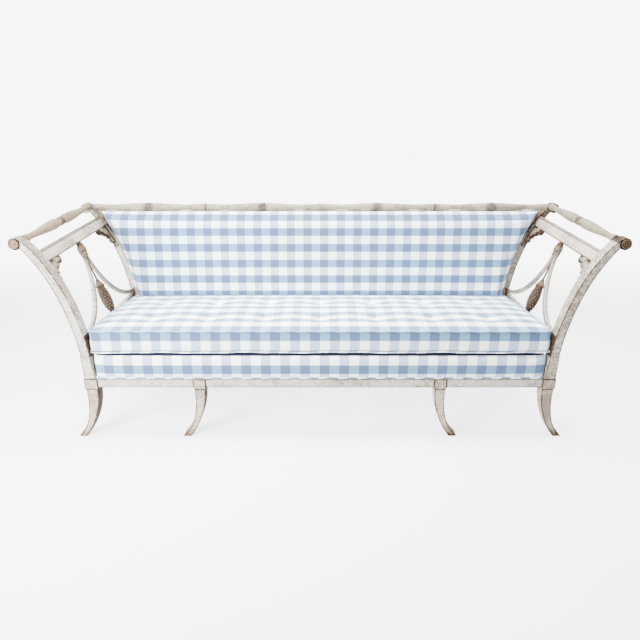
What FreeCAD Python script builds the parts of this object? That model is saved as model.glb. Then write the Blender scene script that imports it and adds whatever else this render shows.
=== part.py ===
import FreeCAD, Part

import math
import os

# A flared sofa with a painted show-wood frame, in millimetres.
# X runs along the sofa, Y from front to back, Z up. The origin lies on the floor
# under the middle of the frame.

# Seat frame
LEG_SPAN = 1854.0            # over the outer faces of the corner leg blocks
FRAME_DEPTH = 670.0          # over the front and rear faces of the leg blocks
RAIL_TOP = 264.0             # top of the show wood
RAIL_SHOW = 37.0             # height of the show wood
RAIL_THICK = 44.0
RAIL_SETBACK = 3.0           # rail face behind the leg block face
REBATE_DEPTH = 10.0          # covered upper part stands back from the rail face
UPSTAND_HEIGHT = 32.0        # covered upper part above the show wood
SIDE_UPSTAND_WIDTH = 26.0
CROSS_RAIL_WIDTH = 40.0
CROSS_RAIL_HEIGHT = 30.0
GLUE_BLOCK_SIZE = 80.0
GLUE_BLOCK_HEIGHT = 25.0
TENON_LENGTH = 14.0
TENON_THICK = 14.0
TENON_SHOULDER = 6.0         # wood above and below a tenon
FIT = 0.2                    # play round tenons and dowels
SEAT_GAP = 0.3               # play between soft and hard faces

# Legs
LEG_DEPTH = 54.0
BLOCK_HEIGHT = 45.0
BLOCK_WIDTH = 51.0
LEG_INSET = 3.0              # leg set in from its block
MIDDLE_LEG_X = 475.0         # centre of a middle leg's block
MIDDLE_BLOCK_WIDTH = 48.0
LEG_STRAIGHT = 34.0          # straight stretch under the block
LEG_KNEE_RADIUS = 400.0
LEG_KNEE_ANGLE = 12.6
LEG_TOE_ANGLE = 46.0
TOE_WIDTH = 33.0

# Arm posts
POST_DEPTH = 42.0
POST_INSET = 5.0             # outer edge inside the leg block's outer face
PEDESTAL_HEIGHT = 97.0
PEDESTAL_WIDTH = 43.0
PEDESTAL_PROUD = 1.5
POST_WIDTH_LOW = 36.0
POST_WIDTH_MIDDLE = 33.0
POST_WIDTH_TOP = 29.0
FLARE_ANGLES = (3.5, 20.0, 34.5, 41.5)
FLARE_RADII = (931.0, 610.0, 300.0)
SCROLL_RADIUS = 22.0
SCROLL_ANGLE = 43.7          # direction from the end of the outer edge to the scroll
SCROLL_TANGENT = 60.0        # heading at which the inner edge meets the scroll
SCROLL_BOSS_RADIUS = 17.0
SCROLL_BOSS_PROUD = 2.5
ARM_RISE = 14.0              # the rear posts are taller by this
DOWEL_RADIUS = 8.0
DOWEL_LENGTH = 70.0

# Arms
TURNED_SIDES = 20            # facets round a turned bar
ARM_RAIL_INSET = 15.0        # rail axis inside the scroll centre
ARM_RAIL_LIFT = 8.0
ARM_RAIL_END_RADIUS = 11.5
ARM_RAIL_BELLY_RADIUS = 19.0
ARM_RAIL_RING_RADIUS = 17.0
SPIGOT_RADIUS = 7.0
SPIGOT_LENGTH = 18.0
BOARD_TOP_Z = 763.0
BOARD_WIDTH = 52.0
BOARD_THICK = 18.0
BOARD_OFFSET = 12.0          # mid plane behind the outer edge of the post
BOARD_TENON_LENGTH = 10.0
BOARD_TENON_THICK = 8.0
BOARD_TENON_WIDTH = 34.0
LOWER_BAR_TOP = 417.0
LOWER_BAR_HEIGHT = 22.0
LOWER_BAR_WIDTH = 24.0
LOWER_BAR_OFFSET = 18.0
SPANDREL_RUN = 103.0
SPANDREL_DROP = 88.0
SPANDREL_THICK = 14.0
SPANDREL_LOBES = 4
SPANDREL_TUCK = 5.0          # let into the board's lower edge
KNOT_LENGTH = 56.0
KNOT_RADIUS = 19.0
KNOT_NECK_RADIUS = 12.0
KNOT_LEAVES = 8
KNOT_GROOVE = 0.8            # depth between two leaves as a share of the radius
ROD_WIDTH = 18.0
ROD_THICK = 13.0
STRAND_ROUND = 1.8
ROD_STEPS = 15               # flats along a rod
ROD_SPREAD = 17.0            # rods leave the knot this far from the arm's middle
ROD_DROP = 39.9              # and this far below the board
CONE_LENGTH = 146.0
CONE_RADIUS = 23.0
CONE_END_RADIUS = 6.0
CONE_ROWS = 9
CONE_SCALES = 9              # in each row
SCALE_PROUD = 3.0
STALK_RADIUS = 4.0

# Crest rail
CREST_LIFT = 4.8             # axis above the centre of the rear scrolls
CREST_BALUSTERS = 4
CREST_THIN_RADIUS = 13.0
CREST_BELLY_RADIUS = 15.5
RING_WIDTH = 9.0
RING_HEIGHT = 2.2
CREST_DOWEL_RADIUS = 6.0
CREST_DOWEL_LENGTH = 60.0

# Upholstered back
BACK_RAKE = 8.5
BACK_FRAME_INSET = 90.0      # front of the back frame at its foot, from the rear plane
BACK_FOOT_Z = 385.0
BACK_WOOD_THICK = 24.0
BACK_RAIL_HEIGHT = 45.0
STILE_WIDTH = 26.0
MUNTIN_WIDTH = 50.0
MUNTIN_X = 330.0
PAD_THICK = 58.0
PAD_EDGE = 26.0              # width of the pad's rounded border
PAD_CROWN = 7.0
PAD_SIDE_GAP = 4.0
COVER_THICK = 3.0
STRAP_WIDTH = 50.0
STRAP_THICK = 1.6
BACK_STRAPS = 9

# Seat
DECK_INSET = 45.0            # deck's sides inside the leg blocks' outer faces
DECK_APRON = 11.0
DECK_TOP_Z = 380.0
DECK_SOFTNESS = 9.0          # bulge of the deck's sides
SEAT_RAKE = 2.6
SEAT_STRAPS = 11
CROSS_STRAPS = 3
CROSS_STRAP_SPREAD = 0.58    # outer straps' place as a share of the half depth
HESSIAN_THICK = 1.0
CUSHION_POST_GAP = 2.0       # between the cushion's ends and the posts
CUSHION_FRONT = 6.0
CUSHION_REAR = 165.0         # room behind the cushion for the back
CUSHION_EDGE = 84.0
CUSHION_CROWN = 16.0
CUSHION_DRAW = 5.0           # sides drawn in between the corners
CUSHION_BULGE = 7.0
TUFT_PITCH = 225.0
TUFTS_PER_ROW = 7
TUFT_ROWS = (0.31, 0.69)     # share of the cushion's depth
TUFT_RADIUS = 40.0
TUFT_SINK = 15.0

V = FreeCAD.Vector
FRONT = -FRAME_DEPTH / 2
REAR = FRAME_DEPTH / 2
RAIL_BOTTOM = RAIL_TOP - RAIL_SHOW
UPSTAND_TOP = RAIL_TOP + UPSTAND_HEIGHT
LEG_TOP = RAIL_TOP - BLOCK_HEIGHT
CORNER_X = LEG_SPAN / 2
POST_OUTER_X = CORNER_X - POST_INSET
DECK_HALF_WIDTH = CORNER_X - DECK_INSET
CUSHION_HALF_WIDTH = POST_OUTER_X - POST_WIDTH_LOW - CUSHION_POST_GAP
CUSHION_DEPTH = FRAME_DEPTH - CUSHION_FRONT - CUSHION_REAR
BLOCK_INNER_X = CORNER_X - BLOCK_WIDTH
RAIL_FACE = FRONT + RAIL_SETBACK
UPSTAND_FACE = RAIL_FACE + REBATE_DEPTH
RAIL_BACK = RAIL_FACE + RAIL_THICK
SIDE_UPSTAND_X = DECK_HALF_WIDTH - DECK_APRON - SEAT_GAP
ARM_FRONT = FRONT + POST_DEPTH
ARM_REAR = REAR - POST_DEPTH
ARM_LENGTH = ARM_REAR - ARM_FRONT
FLARE_FOOT = RAIL_TOP + PEDESTAL_HEIGHT
MIRROR = V(1, 0, 0)


def sin(degrees):
    return math.sin(math.radians(degrees))


def cos(degrees):
    return math.cos(math.radians(degrees))


def tan(degrees):
    return math.tan(math.radians(degrees))


def line(a, b):
    return Part.LineSegment(a, b).toShape()


def arc(a, b, c):
    return Part.Arc(a, b, c).toShape()


def box(x0, y0, z0, x1, y1, z1):
    return Part.makeBox(x1 - x0, y1 - y0, z1 - z0, V(x0, y0, z0))


def polygon(points, direction):
    """A prism on a closed polygon."""
    return Part.Face(Part.makePolygon(points + points[:1])).extrude(direction)


def prism(edges, direction):
    """A prism on a closed row of edges."""
    return Part.Face(Part.Wire(edges)).extrude(direction)


def facet(*points):
    return Part.Face(Part.makePolygon(list(points) + [points[0]]))


def solid_of(faces):
    """The solid that a closed set of flat faces bounds."""
    solid = Part.makeSolid(Part.makeShell(faces))
    if solid.Volume < 0:
        solid.reverse()
    return solid


def ring_of(centre, across, upward, radii, turn=0.0):
    """Points round a centre, evenly spaced from a turn on, at the radii given in order."""
    points = []
    for i, radius in enumerate(radii):
        angle = turn + 360 * i / len(radii)
        points.append(centre + (across * cos(angle) + upward * sin(angle)) * radius)
    return points


def ringed_body(rings):
    """A body through rings with equally many points, with flat sides and ends."""
    faces = [facet(*rings[0]), facet(*rings[-1])]
    for low, high in zip(rings, rings[1:]):
        for i in range(len(low)):
            faces.append(facet(low[i - 1], low[i], high[i], high[i - 1]))
    return solid_of(faces)


def save(name, shape):
    shape.exportStep("parts/" + name + ".step")


def save_pair(name, shape):
    """The shape, made on the right, and its mirror image on the left."""
    save(name.format("right"), shape)
    save(name.format("left"), shape.mirror(V(), MIRROR))


def front_to_rear(shape):
    return shape.mirror(V(), V(0, 1, 0))


def four_corners(shape):
    pair = [shape, shape.mirror(V(), MIRROR)]
    return Part.makeCompound(pair + [front_to_rear(s) for s in pair])


# The flare that the posts and arms follow

def flare_starts():
    """The first point of each arc of the post's outer edge, and its last point."""
    x = POST_OUTER_X
    z = FLARE_FOOT
    points = [(x, z)]
    for radius, start, end in zip(FLARE_RADII, FLARE_ANGLES, FLARE_ANGLES[1:]):
        x += radius * (cos(start) - cos(end))
        z += radius * (sin(end) - sin(start))
        points.append((x, z))
    return points


STARTS = flare_starts()


def flare_at(stretch, heading, offset=0.0, y=0.0, rise=0.0):
    """A point of the flare at a heading from the vertical, moved inwards by an offset."""
    x0, z0 = STARTS[stretch]
    start = FLARE_ANGLES[stretch]
    radius = FLARE_RADII[stretch]
    x = x0 + radius * (cos(start) - cos(heading)) - offset * cos(heading)
    z = z0 + radius * (sin(heading) - sin(start)) + offset * sin(heading)
    return V(x, y, z + rise)


def flare_heading(z):
    """The stretch and heading of the outer edge at a height."""
    stretch = 0
    while stretch < len(FLARE_RADII) - 1 and z > STARTS[stretch + 1][1]:
        stretch += 1
    climb = (z - STARTS[stretch][1]) / FLARE_RADII[stretch]
    return stretch, math.degrees(math.asin(sin(FLARE_ANGLES[stretch]) + climb))


def flare_x(z, rise=0.0):
    """X of the outer edge at a height."""
    stretch, heading = flare_heading(z - rise)
    return flare_at(stretch, heading).x


def inner_x(z, rise):
    """X of a post's inner edge at a height, near enough for the pieces inside it."""
    stretch, heading = flare_heading(z - rise)
    share = (z - rise - FLARE_FOOT) / (STARTS[2][1] - FLARE_FOOT)
    width = POST_WIDTH_LOW + (POST_WIDTH_TOP - POST_WIDTH_LOW) * share
    return flare_at(stretch, heading).x - width / cos(heading)


def scroll_centre(y, rise):
    x, z = STARTS[-1]
    return V(x + SCROLL_RADIUS * sin(SCROLL_ANGLE), y, z + SCROLL_RADIUS * cos(SCROLL_ANGLE) + rise)


CREST_Z = scroll_centre(0, ARM_RISE).z + CREST_LIFT
BACK_TOP_Z = CREST_Z - CREST_BELLY_RADIUS - RING_HEIGHT - SEAT_GAP


# Posts and legs

def post(face_y, outward, rise):
    """A flared post on the right. Its show face lies at face_y and looks outward in Y."""
    low, middle, top, end = FLARE_ANGLES
    widths = (POST_WIDTH_LOW, POST_WIDTH_MIDDLE, POST_WIDTH_TOP)
    centre = scroll_centre(face_y, rise)
    tangent = centre + V(-cos(SCROLL_TANGENT), 0, sin(SCROLL_TANGENT)) * SCROLL_RADIUS
    edges = []
    inner = []
    for i in range(2):
        a = FLARE_ANGLES[i]
        b = FLARE_ANGLES[i + 1]
        half = (a + b) / 2
        width = (widths[i] + widths[i + 1]) / 2
        edges.append(arc(flare_at(i, a, 0, face_y, rise), flare_at(i, half, 0, face_y, rise),
                         flare_at(i, b, 0, face_y, rise)))
        inner.append(arc(flare_at(i, b, widths[i + 1], face_y, rise),
                         flare_at(i, half, width, face_y, rise),
                         flare_at(i, a, widths[i], face_y, rise)))
    last = flare_at(2, end, 0, face_y, rise)
    edges.append(arc(flare_at(2, top, 0, face_y, rise), flare_at(2, (top + end) / 2, 0, face_y, rise), last))
    edges.append(arc(last, centre + V(SCROLL_RADIUS, 0, 0), tangent))
    neck = flare_at(1, top, POST_WIDTH_TOP, face_y, rise)
    chord = tangent - neck
    bow = V(-chord.z, 0, chord.x) * (tan((SCROLL_TANGENT - top) / 4) / 2)
    edges.append(arc(tangent, (tangent + neck) / 2 + bow, neck))
    edges += reversed(inner)
    foot_inner = inner[0].valueAt(inner[0].LastParameter)
    foot_outer = V(POST_OUTER_X, face_y, FLARE_FOOT + rise)
    base = RAIL_TOP
    edges.append(line(foot_inner, V(foot_inner.x, face_y, base)))
    edges.append(line(V(foot_inner.x, face_y, base), V(POST_OUTER_X, face_y, base)))
    edges.append(line(V(POST_OUTER_X, face_y, base), foot_outer))
    depth = V(0, -outward * POST_DEPTH, 0)
    body = prism(edges, depth)
    step = FLARE_FOOT + rise
    outer = POST_OUTER_X + PEDESTAL_PROUD
    pedestal = polygon([V(outer, face_y, base), V(outer, face_y, step),
                        V(foot_inner.x, face_y, step), V(outer - PEDESTAL_WIDTH, face_y, base)], depth)
    boss = Part.makeCylinder(SCROLL_BOSS_RADIUS, SCROLL_BOSS_PROUD, centre, V(0, outward, 0))
    return body.fuse([pedestal, boss]).removeSplitter()


def leg(outer_x, width):
    """A front sabre leg on the right, below its square block."""
    face = FRONT + LEG_INSET
    x = outer_x - LEG_INSET
    bend = LEG_TOP - LEG_STRAIGHT

    def knee(heading):
        return V(x + LEG_KNEE_RADIUS * (1 - cos(heading)), face, bend - LEG_KNEE_RADIUS * sin(heading))

    turn = knee(LEG_KNEE_ANGLE)
    toe_radius = turn.z / (sin(LEG_TOE_ANGLE) - sin(LEG_KNEE_ANGLE))

    def toe(heading):
        return V(turn.x + toe_radius * (cos(LEG_KNEE_ANGLE) - cos(heading)), face,
                 turn.z - toe_radius * (sin(heading) - sin(LEG_KNEE_ANGLE)))

    tip = toe(LEG_TOE_ANGLE)
    inner_top = V(outer_x - width + LEG_INSET, face, LEG_TOP)
    inner_tip = V(tip.x - TOE_WIDTH, face, 0)
    sweep = 2 * math.degrees(math.atan2(inner_tip.x - inner_top.x, LEG_TOP))
    radius = LEG_TOP / sin(sweep)
    calf = V(inner_top.x + radius * (1 - cos(sweep / 2)), face, LEG_TOP - radius * sin(sweep / 2))
    tip.z = 0
    edges = [line(V(x, face, LEG_TOP), V(x, face, bend)),
             arc(V(x, face, bend), knee(LEG_KNEE_ANGLE / 2), turn),
             arc(turn, toe((LEG_KNEE_ANGLE + LEG_TOE_ANGLE) / 2), tip),
             line(tip, inner_tip),
             arc(inner_tip, calf, inner_top),
             line(inner_top, V(x, face, LEG_TOP))]
    shank = prism(edges, V(0, LEG_DEPTH - 2 * LEG_INSET, 0))
    block = box(outer_x - width, FRONT, LEG_TOP, outer_x, FRONT + LEG_DEPTH, RAIL_TOP)
    return shank.fuse(block).removeSplitter()


def rail_tenon(play=0.0):
    """The front rail's tenon in the right corner leg."""
    middle = RAIL_FACE + RAIL_THICK / 2
    return box(BLOCK_INNER_X, middle - TENON_THICK / 2 - play, RAIL_BOTTOM + TENON_SHOULDER - play,
               BLOCK_INNER_X + TENON_LENGTH + play, middle + TENON_THICK / 2 + play,
               RAIL_TOP - TENON_SHOULDER + play)


def side_tenon(play=0.0):
    """The right side rail's tenon in the front corner leg."""
    end = FRONT + LEG_DEPTH
    middle = CORNER_X - BLOCK_WIDTH / 2
    half = TENON_THICK / 2 + play
    return box(middle - half, end - TENON_LENGTH - play, RAIL_BOTTOM + TENON_SHOULDER - play,
               middle + half, end, RAIL_TOP - TENON_SHOULDER + play)


def post_dowel(play=0.0):
    """The dowel between the right front post and its leg."""
    reach = DOWEL_LENGTH / 2 + play
    foot = V(POST_OUTER_X - PEDESTAL_WIDTH / 2, FRONT + POST_DEPTH / 2, RAIL_TOP - reach)
    return Part.makeCylinder(DOWEL_RADIUS + play, 2 * reach, foot)


def middle_bridle(play=0.0):
    """The part of the front rail that the right middle leg's block straddles."""
    half = MIDDLE_BLOCK_WIDTH / 2
    third = RAIL_THICK / 3
    return box(MIDDLE_LEG_X - half - play, RAIL_FACE + third - play, RAIL_BOTTOM - play,
               MIDDLE_LEG_X + half + play, RAIL_BACK - third + play, RAIL_TOP)


# Seat frame

def front_rail():
    show = box(-BLOCK_INNER_X, RAIL_FACE, RAIL_BOTTOM, BLOCK_INNER_X, RAIL_BACK, RAIL_TOP)
    upstand = box(-SIDE_UPSTAND_X, UPSTAND_FACE, RAIL_TOP, SIDE_UPSTAND_X, RAIL_BACK, UPSTAND_TOP)
    half = MIDDLE_BLOCK_WIDTH / 2 + FIT
    notch = box(MIDDLE_LEG_X - half, RAIL_FACE, RAIL_BOTTOM, MIDDLE_LEG_X + half, RAIL_BACK, RAIL_TOP)
    notch = notch.cut(middle_bridle())
    tenon = rail_tenon()
    rail = show.fuse([upstand, tenon, tenon.mirror(V(), MIRROR)])
    rail = rail.cut([notch, notch.mirror(V(), MIRROR)] + cross_tenons(FIT))
    return rail.removeSplitter()


def cross_tenons(play=0.0):
    """The front tenons of the two cross rails."""
    half = CROSS_RAIL_WIDTH / 2 - TENON_SHOULDER + play
    tenons = []
    low = UPSTAND_TOP - CROSS_RAIL_HEIGHT + TENON_SHOULDER - play
    high = UPSTAND_TOP - TENON_SHOULDER - STRAP_THICK + play
    for x in (-MIDDLE_LEG_X, MIDDLE_LEG_X):
        tenons.append(box(x - half, RAIL_BACK - TENON_THICK / 2 - play, low, x + half, RAIL_BACK, high))
    return tenons


def cross_rail(tenon, x):
    half = CROSS_RAIL_WIDTH / 2
    bar = box(x - half, RAIL_BACK, UPSTAND_TOP - CROSS_RAIL_HEIGHT,
              x + half, -RAIL_BACK, UPSTAND_TOP - STRAP_THICK)
    return bar.fuse([tenon, front_to_rear(tenon)]).removeSplitter()


def side_rail():
    end = FRONT + LEG_DEPTH
    inner = SIDE_UPSTAND_X - SIDE_UPSTAND_WIDTH
    show = box(inner, end, RAIL_BOTTOM, CORNER_X - RAIL_SETBACK, -end, RAIL_TOP)
    upstand = box(inner, end, RAIL_TOP, SIDE_UPSTAND_X, -end, UPSTAND_TOP)
    tenon = side_tenon()
    return show.fuse([upstand, tenon, front_to_rear(tenon)]).removeSplitter()


def corner_block():
    """A glue block in the frame's front right corner."""
    low = V(SIDE_UPSTAND_X - SIDE_UPSTAND_WIDTH, RAIL_BACK, RAIL_BOTTOM + TENON_SHOULDER)
    corners = [low, low - V(GLUE_BLOCK_SIZE, 0, 0), low + V(0, GLUE_BLOCK_SIZE, 0)]
    return polygon(corners, V(0, 0, GLUE_BLOCK_HEIGHT))


# Arms

def turning(stations, start, axis):
    """A turned bar. Each station is (distance, radius, bead): a run to that place and radius that
    starts and ends level, or a ring of that height when the radius stays."""
    side = axis.cross(V(0, 0, 1)).normalize()
    upward = side.cross(axis)
    distance, radius, bead = stations[0]
    outline = [(distance, radius)]
    for next_distance, next_radius, bead in stations[1:]:
        run = next_distance - distance
        if bead:
            outline.append((distance + run / 4, radius + bead))
            outline.append((next_distance - run / 4, radius + bead))
        elif next_radius != radius:
            for share in (0.25, 0.5, 0.75):
                ease = share * share * (3 - 2 * share)
                outline.append((distance + run * share, radius + (next_radius - radius) * ease))
        outline.append((next_distance, next_radius))
        distance = next_distance
        radius = next_radius
    return ringed_body([ring_of(start + axis * d, side, upward, [r] * TURNED_SIDES) for d, r in outline])


def slope(point_front):
    """Start and direction of a bar that runs from a point of the front post to the rear one."""
    run = V(0, ARM_LENGTH, ARM_RISE)
    return point_front, run.normalize()


ARM_SPAN = math.hypot(ARM_LENGTH, ARM_RISE)


def arm_rail():
    centre = scroll_centre(ARM_FRONT, 0)
    start, axis = slope(centre + V(-ARM_RAIL_INSET, 0, ARM_RAIL_LIFT))
    half = ARM_SPAN / 2
    end = ARM_RAIL_END_RADIUS
    belly = ARM_RAIL_BELLY_RADIUS
    collar = RING_WIDTH * 2
    shoulder = half - RING_WIDTH * 4
    ring = ARM_RAIL_RING_RADIUS
    stations = [(0, end, 0), (collar, end, 0), (shoulder, belly, 0), (half - RING_WIDTH, ring, 0),
                (half, ring, RING_HEIGHT), (half + RING_WIDTH, ring, RING_HEIGHT),
                (ARM_SPAN - shoulder, belly, 0), (ARM_SPAN - collar, end, 0), (ARM_SPAN, end, 0)]
    bar = turning(stations, start, axis)
    reach = SPIGOT_LENGTH
    spigot = Part.makeCylinder(SPIGOT_RADIUS, ARM_SPAN + 2 * reach, start - axis * reach, axis)
    trim = box(0, ARM_FRONT, 0, 2 * CORNER_X, ARM_REAR, 2 * CREST_Z)
    return bar.common(trim).fuse(spigot).removeSplitter()


def arm_rail_sockets():
    start, axis = slope(scroll_centre(ARM_FRONT, 0) + V(-ARM_RAIL_INSET, 0, ARM_RAIL_LIFT))
    reach = SPIGOT_LENGTH + FIT
    return Part.makeCylinder(SPIGOT_RADIUS + FIT, ARM_SPAN + 2 * reach, start - axis * reach, axis)


def board_heading():
    return flare_heading(BOARD_TOP_Z - BOARD_WIDTH / 2)


def sloped_bar(thick, width, length_beyond):
    """A flat bar on the board's line, as wide and thick as asked, past the posts' faces by a length."""
    stretch, heading = board_heading()
    middle = flare_at(stretch, heading, BOARD_OFFSET, ARM_FRONT)
    along = V(sin(heading), 0, cos(heading)) * (width / 2)
    across = V(-cos(heading), 0, sin(heading)) * (thick / 2)
    run = V(0, ARM_LENGTH, ARM_RISE)
    step = run * (length_beyond / ARM_LENGTH)
    start = middle - step
    corners = [start + along + across, start + along - across, start - along - across, start - along + across]
    return polygon(corners, run + step * 2)


def arm_board():
    bar = sloped_bar(BOARD_THICK, BOARD_WIDTH, 0)
    return bar.fuse(sloped_bar(BOARD_TENON_THICK, BOARD_TENON_WIDTH, BOARD_TENON_LENGTH)).removeSplitter()


def board_sockets():
    return sloped_bar(BOARD_TENON_THICK + 2 * FIT, BOARD_TENON_WIDTH + 2 * FIT, BOARD_TENON_LENGTH + FIT)


def lower_bar():
    x = flare_x(LOWER_BAR_TOP) - LOWER_BAR_OFFSET
    half = LOWER_BAR_WIDTH / 2
    return box(x - half, ARM_FRONT, LOWER_BAR_TOP - LOWER_BAR_HEIGHT, x + half, ARM_REAR, LOWER_BAR_TOP)


def board_foot(y):
    """Mid point of the board's lower edge at a place along the arm."""
    stretch, heading = board_heading()
    middle = flare_at(stretch, heading, BOARD_OFFSET, y)
    share = (y - ARM_FRONT) / ARM_LENGTH
    return middle - V(sin(heading), 0, cos(heading)) * (BOARD_WIDTH / 2) + V(0, 0, ARM_RISE * share)


def swag_plane():
    """Foot and upward direction of the slanting plane that the swag, knot and cone hang in."""
    foot = V(flare_x(LOWER_BAR_TOP) - LOWER_BAR_OFFSET, 0, LOWER_BAR_TOP)
    return foot, (board_foot(0) - foot).normalize()


def knot():
    """The leaf knot under the board: a bud of rounded leaves that swells and draws in again."""
    up = swag_plane()[1]
    across = V(0, 1, 0)
    normal = up.cross(across)
    hang = board_foot(0) - up * KNOT_LENGTH
    stations = ((0, KNOT_NECK_RADIUS), (0.25, KNOT_NECK_RADIUS * 0.9), (0.5, KNOT_RADIUS * 0.9),
                (0.7, KNOT_RADIUS), (1.3, KNOT_NECK_RADIUS))
    rings = []
    for share, radius in stations:
        leaves = [radius, radius * KNOT_GROOVE] * KNOT_LEAVES
        rings.append(ring_of(hang + up * (KNOT_LENGTH * share), across, normal, leaves))
    return ringed_body(rings)


def swag_rod():
    """The front swag rod: a quarter ring of two rounded strands in the slanting plane."""
    foot, up = swag_plane()
    across = V(0, 1, 0)
    normal = up.cross(across)
    reach = ARM_LENGTH / 2 - ROD_SPREAD
    half = ROD_WIDTH / 2
    flank = ROD_THICK / 2 - STRAND_ROUND
    clear = flank * abs(normal.z) / up.z + SEAT_GAP
    height = (board_foot(0) - foot).Length - ROD_DROP
    stretch = (height - clear) / (reach + half)
    centre = foot + up * height + V(0, ARM_FRONT, 0)
    ridge = ROD_THICK / 2
    outline = ((-half, flank), (-half / 2, ridge), (0, flank), (half / 2, ridge), (half, flank))
    section = list(outline) + [(-run, -depth) for run, depth in outline]
    rings = []
    for i in range(ROD_STEPS + 1):
        turn = 90 * i / ROD_STEPS
        outward = across * cos(turn) - up * (stretch * sin(turn))
        rings.append([centre + outward * (reach + run) + normal * depth for run, depth in section])
    return ringed_body(rings)


def spandrel(rear):
    """The leaf bracket between an arm board and a post: a lobed plate along the flare."""
    corner = board_foot(ARM_REAR if rear else ARM_FRONT)
    heading = flare_heading(corner.z - SPANDREL_DROP / 2 - (ARM_RISE if rear else 0))[1]
    down = V(-sin(heading), 0, -cos(heading))
    along = V(0, -1 if rear else 1, 0)
    normal = V(-cos(heading), 0, sin(heading))
    corner = corner - down * SPANDREL_TUCK
    tip = corner + along * SPANDREL_RUN
    toe = corner + down * (SPANDREL_DROP + SPANDREL_TUCK)
    brow = tip + down * (SPANDREL_TUCK * 3)
    edges = [line(corner, tip), line(tip, brow)]
    here = brow
    step = (toe - brow) / SPANDREL_LOBES
    hollow = (corner - (brow + toe) / 2) * 0.28
    for i in range(SPANDREL_LOBES):
        share = (i + 1) / SPANDREL_LOBES
        there = brow + step * (i + 1) + hollow * (4 * share * (1 - share))
        chord = there - here
        bow = normal.cross(chord) * (0.3 if rear else -0.3)
        edges.append(arc(here, (here + there) / 2 + bow, there))
        here = there
    edges.append(line(here, corner))
    plate = prism(edges, normal * SPANDREL_THICK)
    return plate.translated(normal * (-SPANDREL_THICK / 2))


def pine_cone():
    """The hanging cone: rows of four-sided scales, each raised to a point, on a thin stalk."""
    foot, up = swag_plane()
    across = V(0, 1, 0)
    normal = up.cross(across)
    length = CONE_LENGTH / up.z
    turn = 360 / CONE_SCALES
    rings = []
    for row in range(CONE_ROWS + 1):
        share = row / CONE_ROWS
        radius = CONE_END_RADIUS + (CONE_RADIUS - CONE_END_RADIUS) * sin(180 * share ** 0.8) ** 0.8
        centre = foot + up * (length * share)
        rings.append(ring_of(centre, across, normal, [radius] * CONE_SCALES, turn * row / 2))

    faces = [facet(*rings[0]), facet(*rings[-1])]
    for i in range(CONE_SCALES):
        faces.append(facet(rings[0][i - 1], rings[0][i], rings[1][i - 1]))
    for row in range(1, CONE_ROWS + 1):
        for i in range(CONE_SCALES):
            below = rings[row - 1][i]
            left = rings[row][i - 1]
            right = rings[row][i]
            if row == CONE_ROWS:
                faces.append(facet(below, right, left))
                continue
            above = rings[row + 1][i - 1]
            middle = (left + right) / 2
            axis = foot + up * (middle - foot).dot(up)
            peak = middle + (middle - axis).normalize() * SCALE_PROUD - up * (length / CONE_ROWS / 4)
            corners = [below, right, above, left]
            for j in range(4):
                faces.append(facet(corners[j - 1], corners[j], peak))
    cone = solid_of(faces)
    cone_top = foot + up * length
    hang = board_foot(0) - up * KNOT_LENGTH
    stalk = Part.makeCylinder(STALK_RADIUS, (hang - cone_top).Length, cone_top, up)
    below = box(0, ARM_FRONT, 0, CORNER_X, ARM_REAR, LOWER_BAR_TOP)
    return cone.fuse(stalk).cut(below)


# Crest rail

CREST_Y = REAR - POST_DEPTH / 2
CREST_HALF = scroll_centre(0, ARM_RISE).x - SCROLL_RADIUS
BALUSTER = 2 * CREST_HALF / CREST_BALUSTERS


def crest_half():
    """The right length of the crest, before it is fitted to the post."""
    thin = CREST_THIN_RADIUS
    belly = CREST_BELLY_RADIUS
    stations = [(0, thin, 0), (RING_WIDTH, thin, RING_HEIGHT)]
    for i in range(CREST_BALUSTERS // 2):
        middle = BALUSTER * (i + 0.5)
        stations.append((middle - RING_WIDTH, belly, 0))
        stations.append((middle, belly, RING_HEIGHT))
        stations.append((middle + RING_WIDTH, belly, RING_HEIGHT))
        stations.append((BALUSTER * (i + 1) - RING_WIDTH / 2, thin, 0))
        stations.append((BALUSTER * (i + 1) + RING_WIDTH / 2, thin, RING_HEIGHT))
    stations.append((CREST_HALF + SCROLL_RADIUS, belly, 0))
    return turning(stations, V(0, CREST_Y, CREST_Z), V(1, 0, 0))


def crest_dowel(play=0.0):
    reach = CREST_DOWEL_LENGTH / 2 + play
    return Part.makeCylinder(CREST_DOWEL_RADIUS + play, 2 * reach, V(-reach, CREST_Y, CREST_Z), V(1, 0, 0))


# Upholstered back

STILE_FOOT_Y = -RAIL_BACK + SEAT_GAP
COVER_Y = REAR - RAIL_SETBACK - COVER_THICK


def back_face(z):
    """Y of the wooden back frame's front face at a height."""
    return REAR - BACK_FRAME_INSET + (z - BACK_FOOT_Z) * tan(BACK_RAKE)


def raked_slab(half_width, z0, z1, y_offset, thick):
    """A slab across the sofa that lies along the raked face."""
    foot = V(-half_width, back_face(z0) + y_offset, z0)
    head = V(-half_width, back_face(z1) + y_offset, z1)
    depth = V(0, thick, 0)
    return polygon([foot, head, head + depth, foot + depth], V(2 * half_width, 0, 0))


def inner_outline(inset, z0, z1, y, depth):
    """A panel between the rear posts' inner edges, drawn in by an inset, from one height to another."""
    middle = (z0 + z1) / 2
    right = [V(inner_x(z, ARM_RISE) - inset, y, z) for z in (z0, middle, z1)]
    left = [V(-p.x, p.y, p.z) for p in right]
    edges = [arc(*right), line(right[2], left[2]), arc(left[2], left[1], left[0]), line(left[0], right[0])]
    return prism(edges, V(0, depth, 0))


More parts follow.
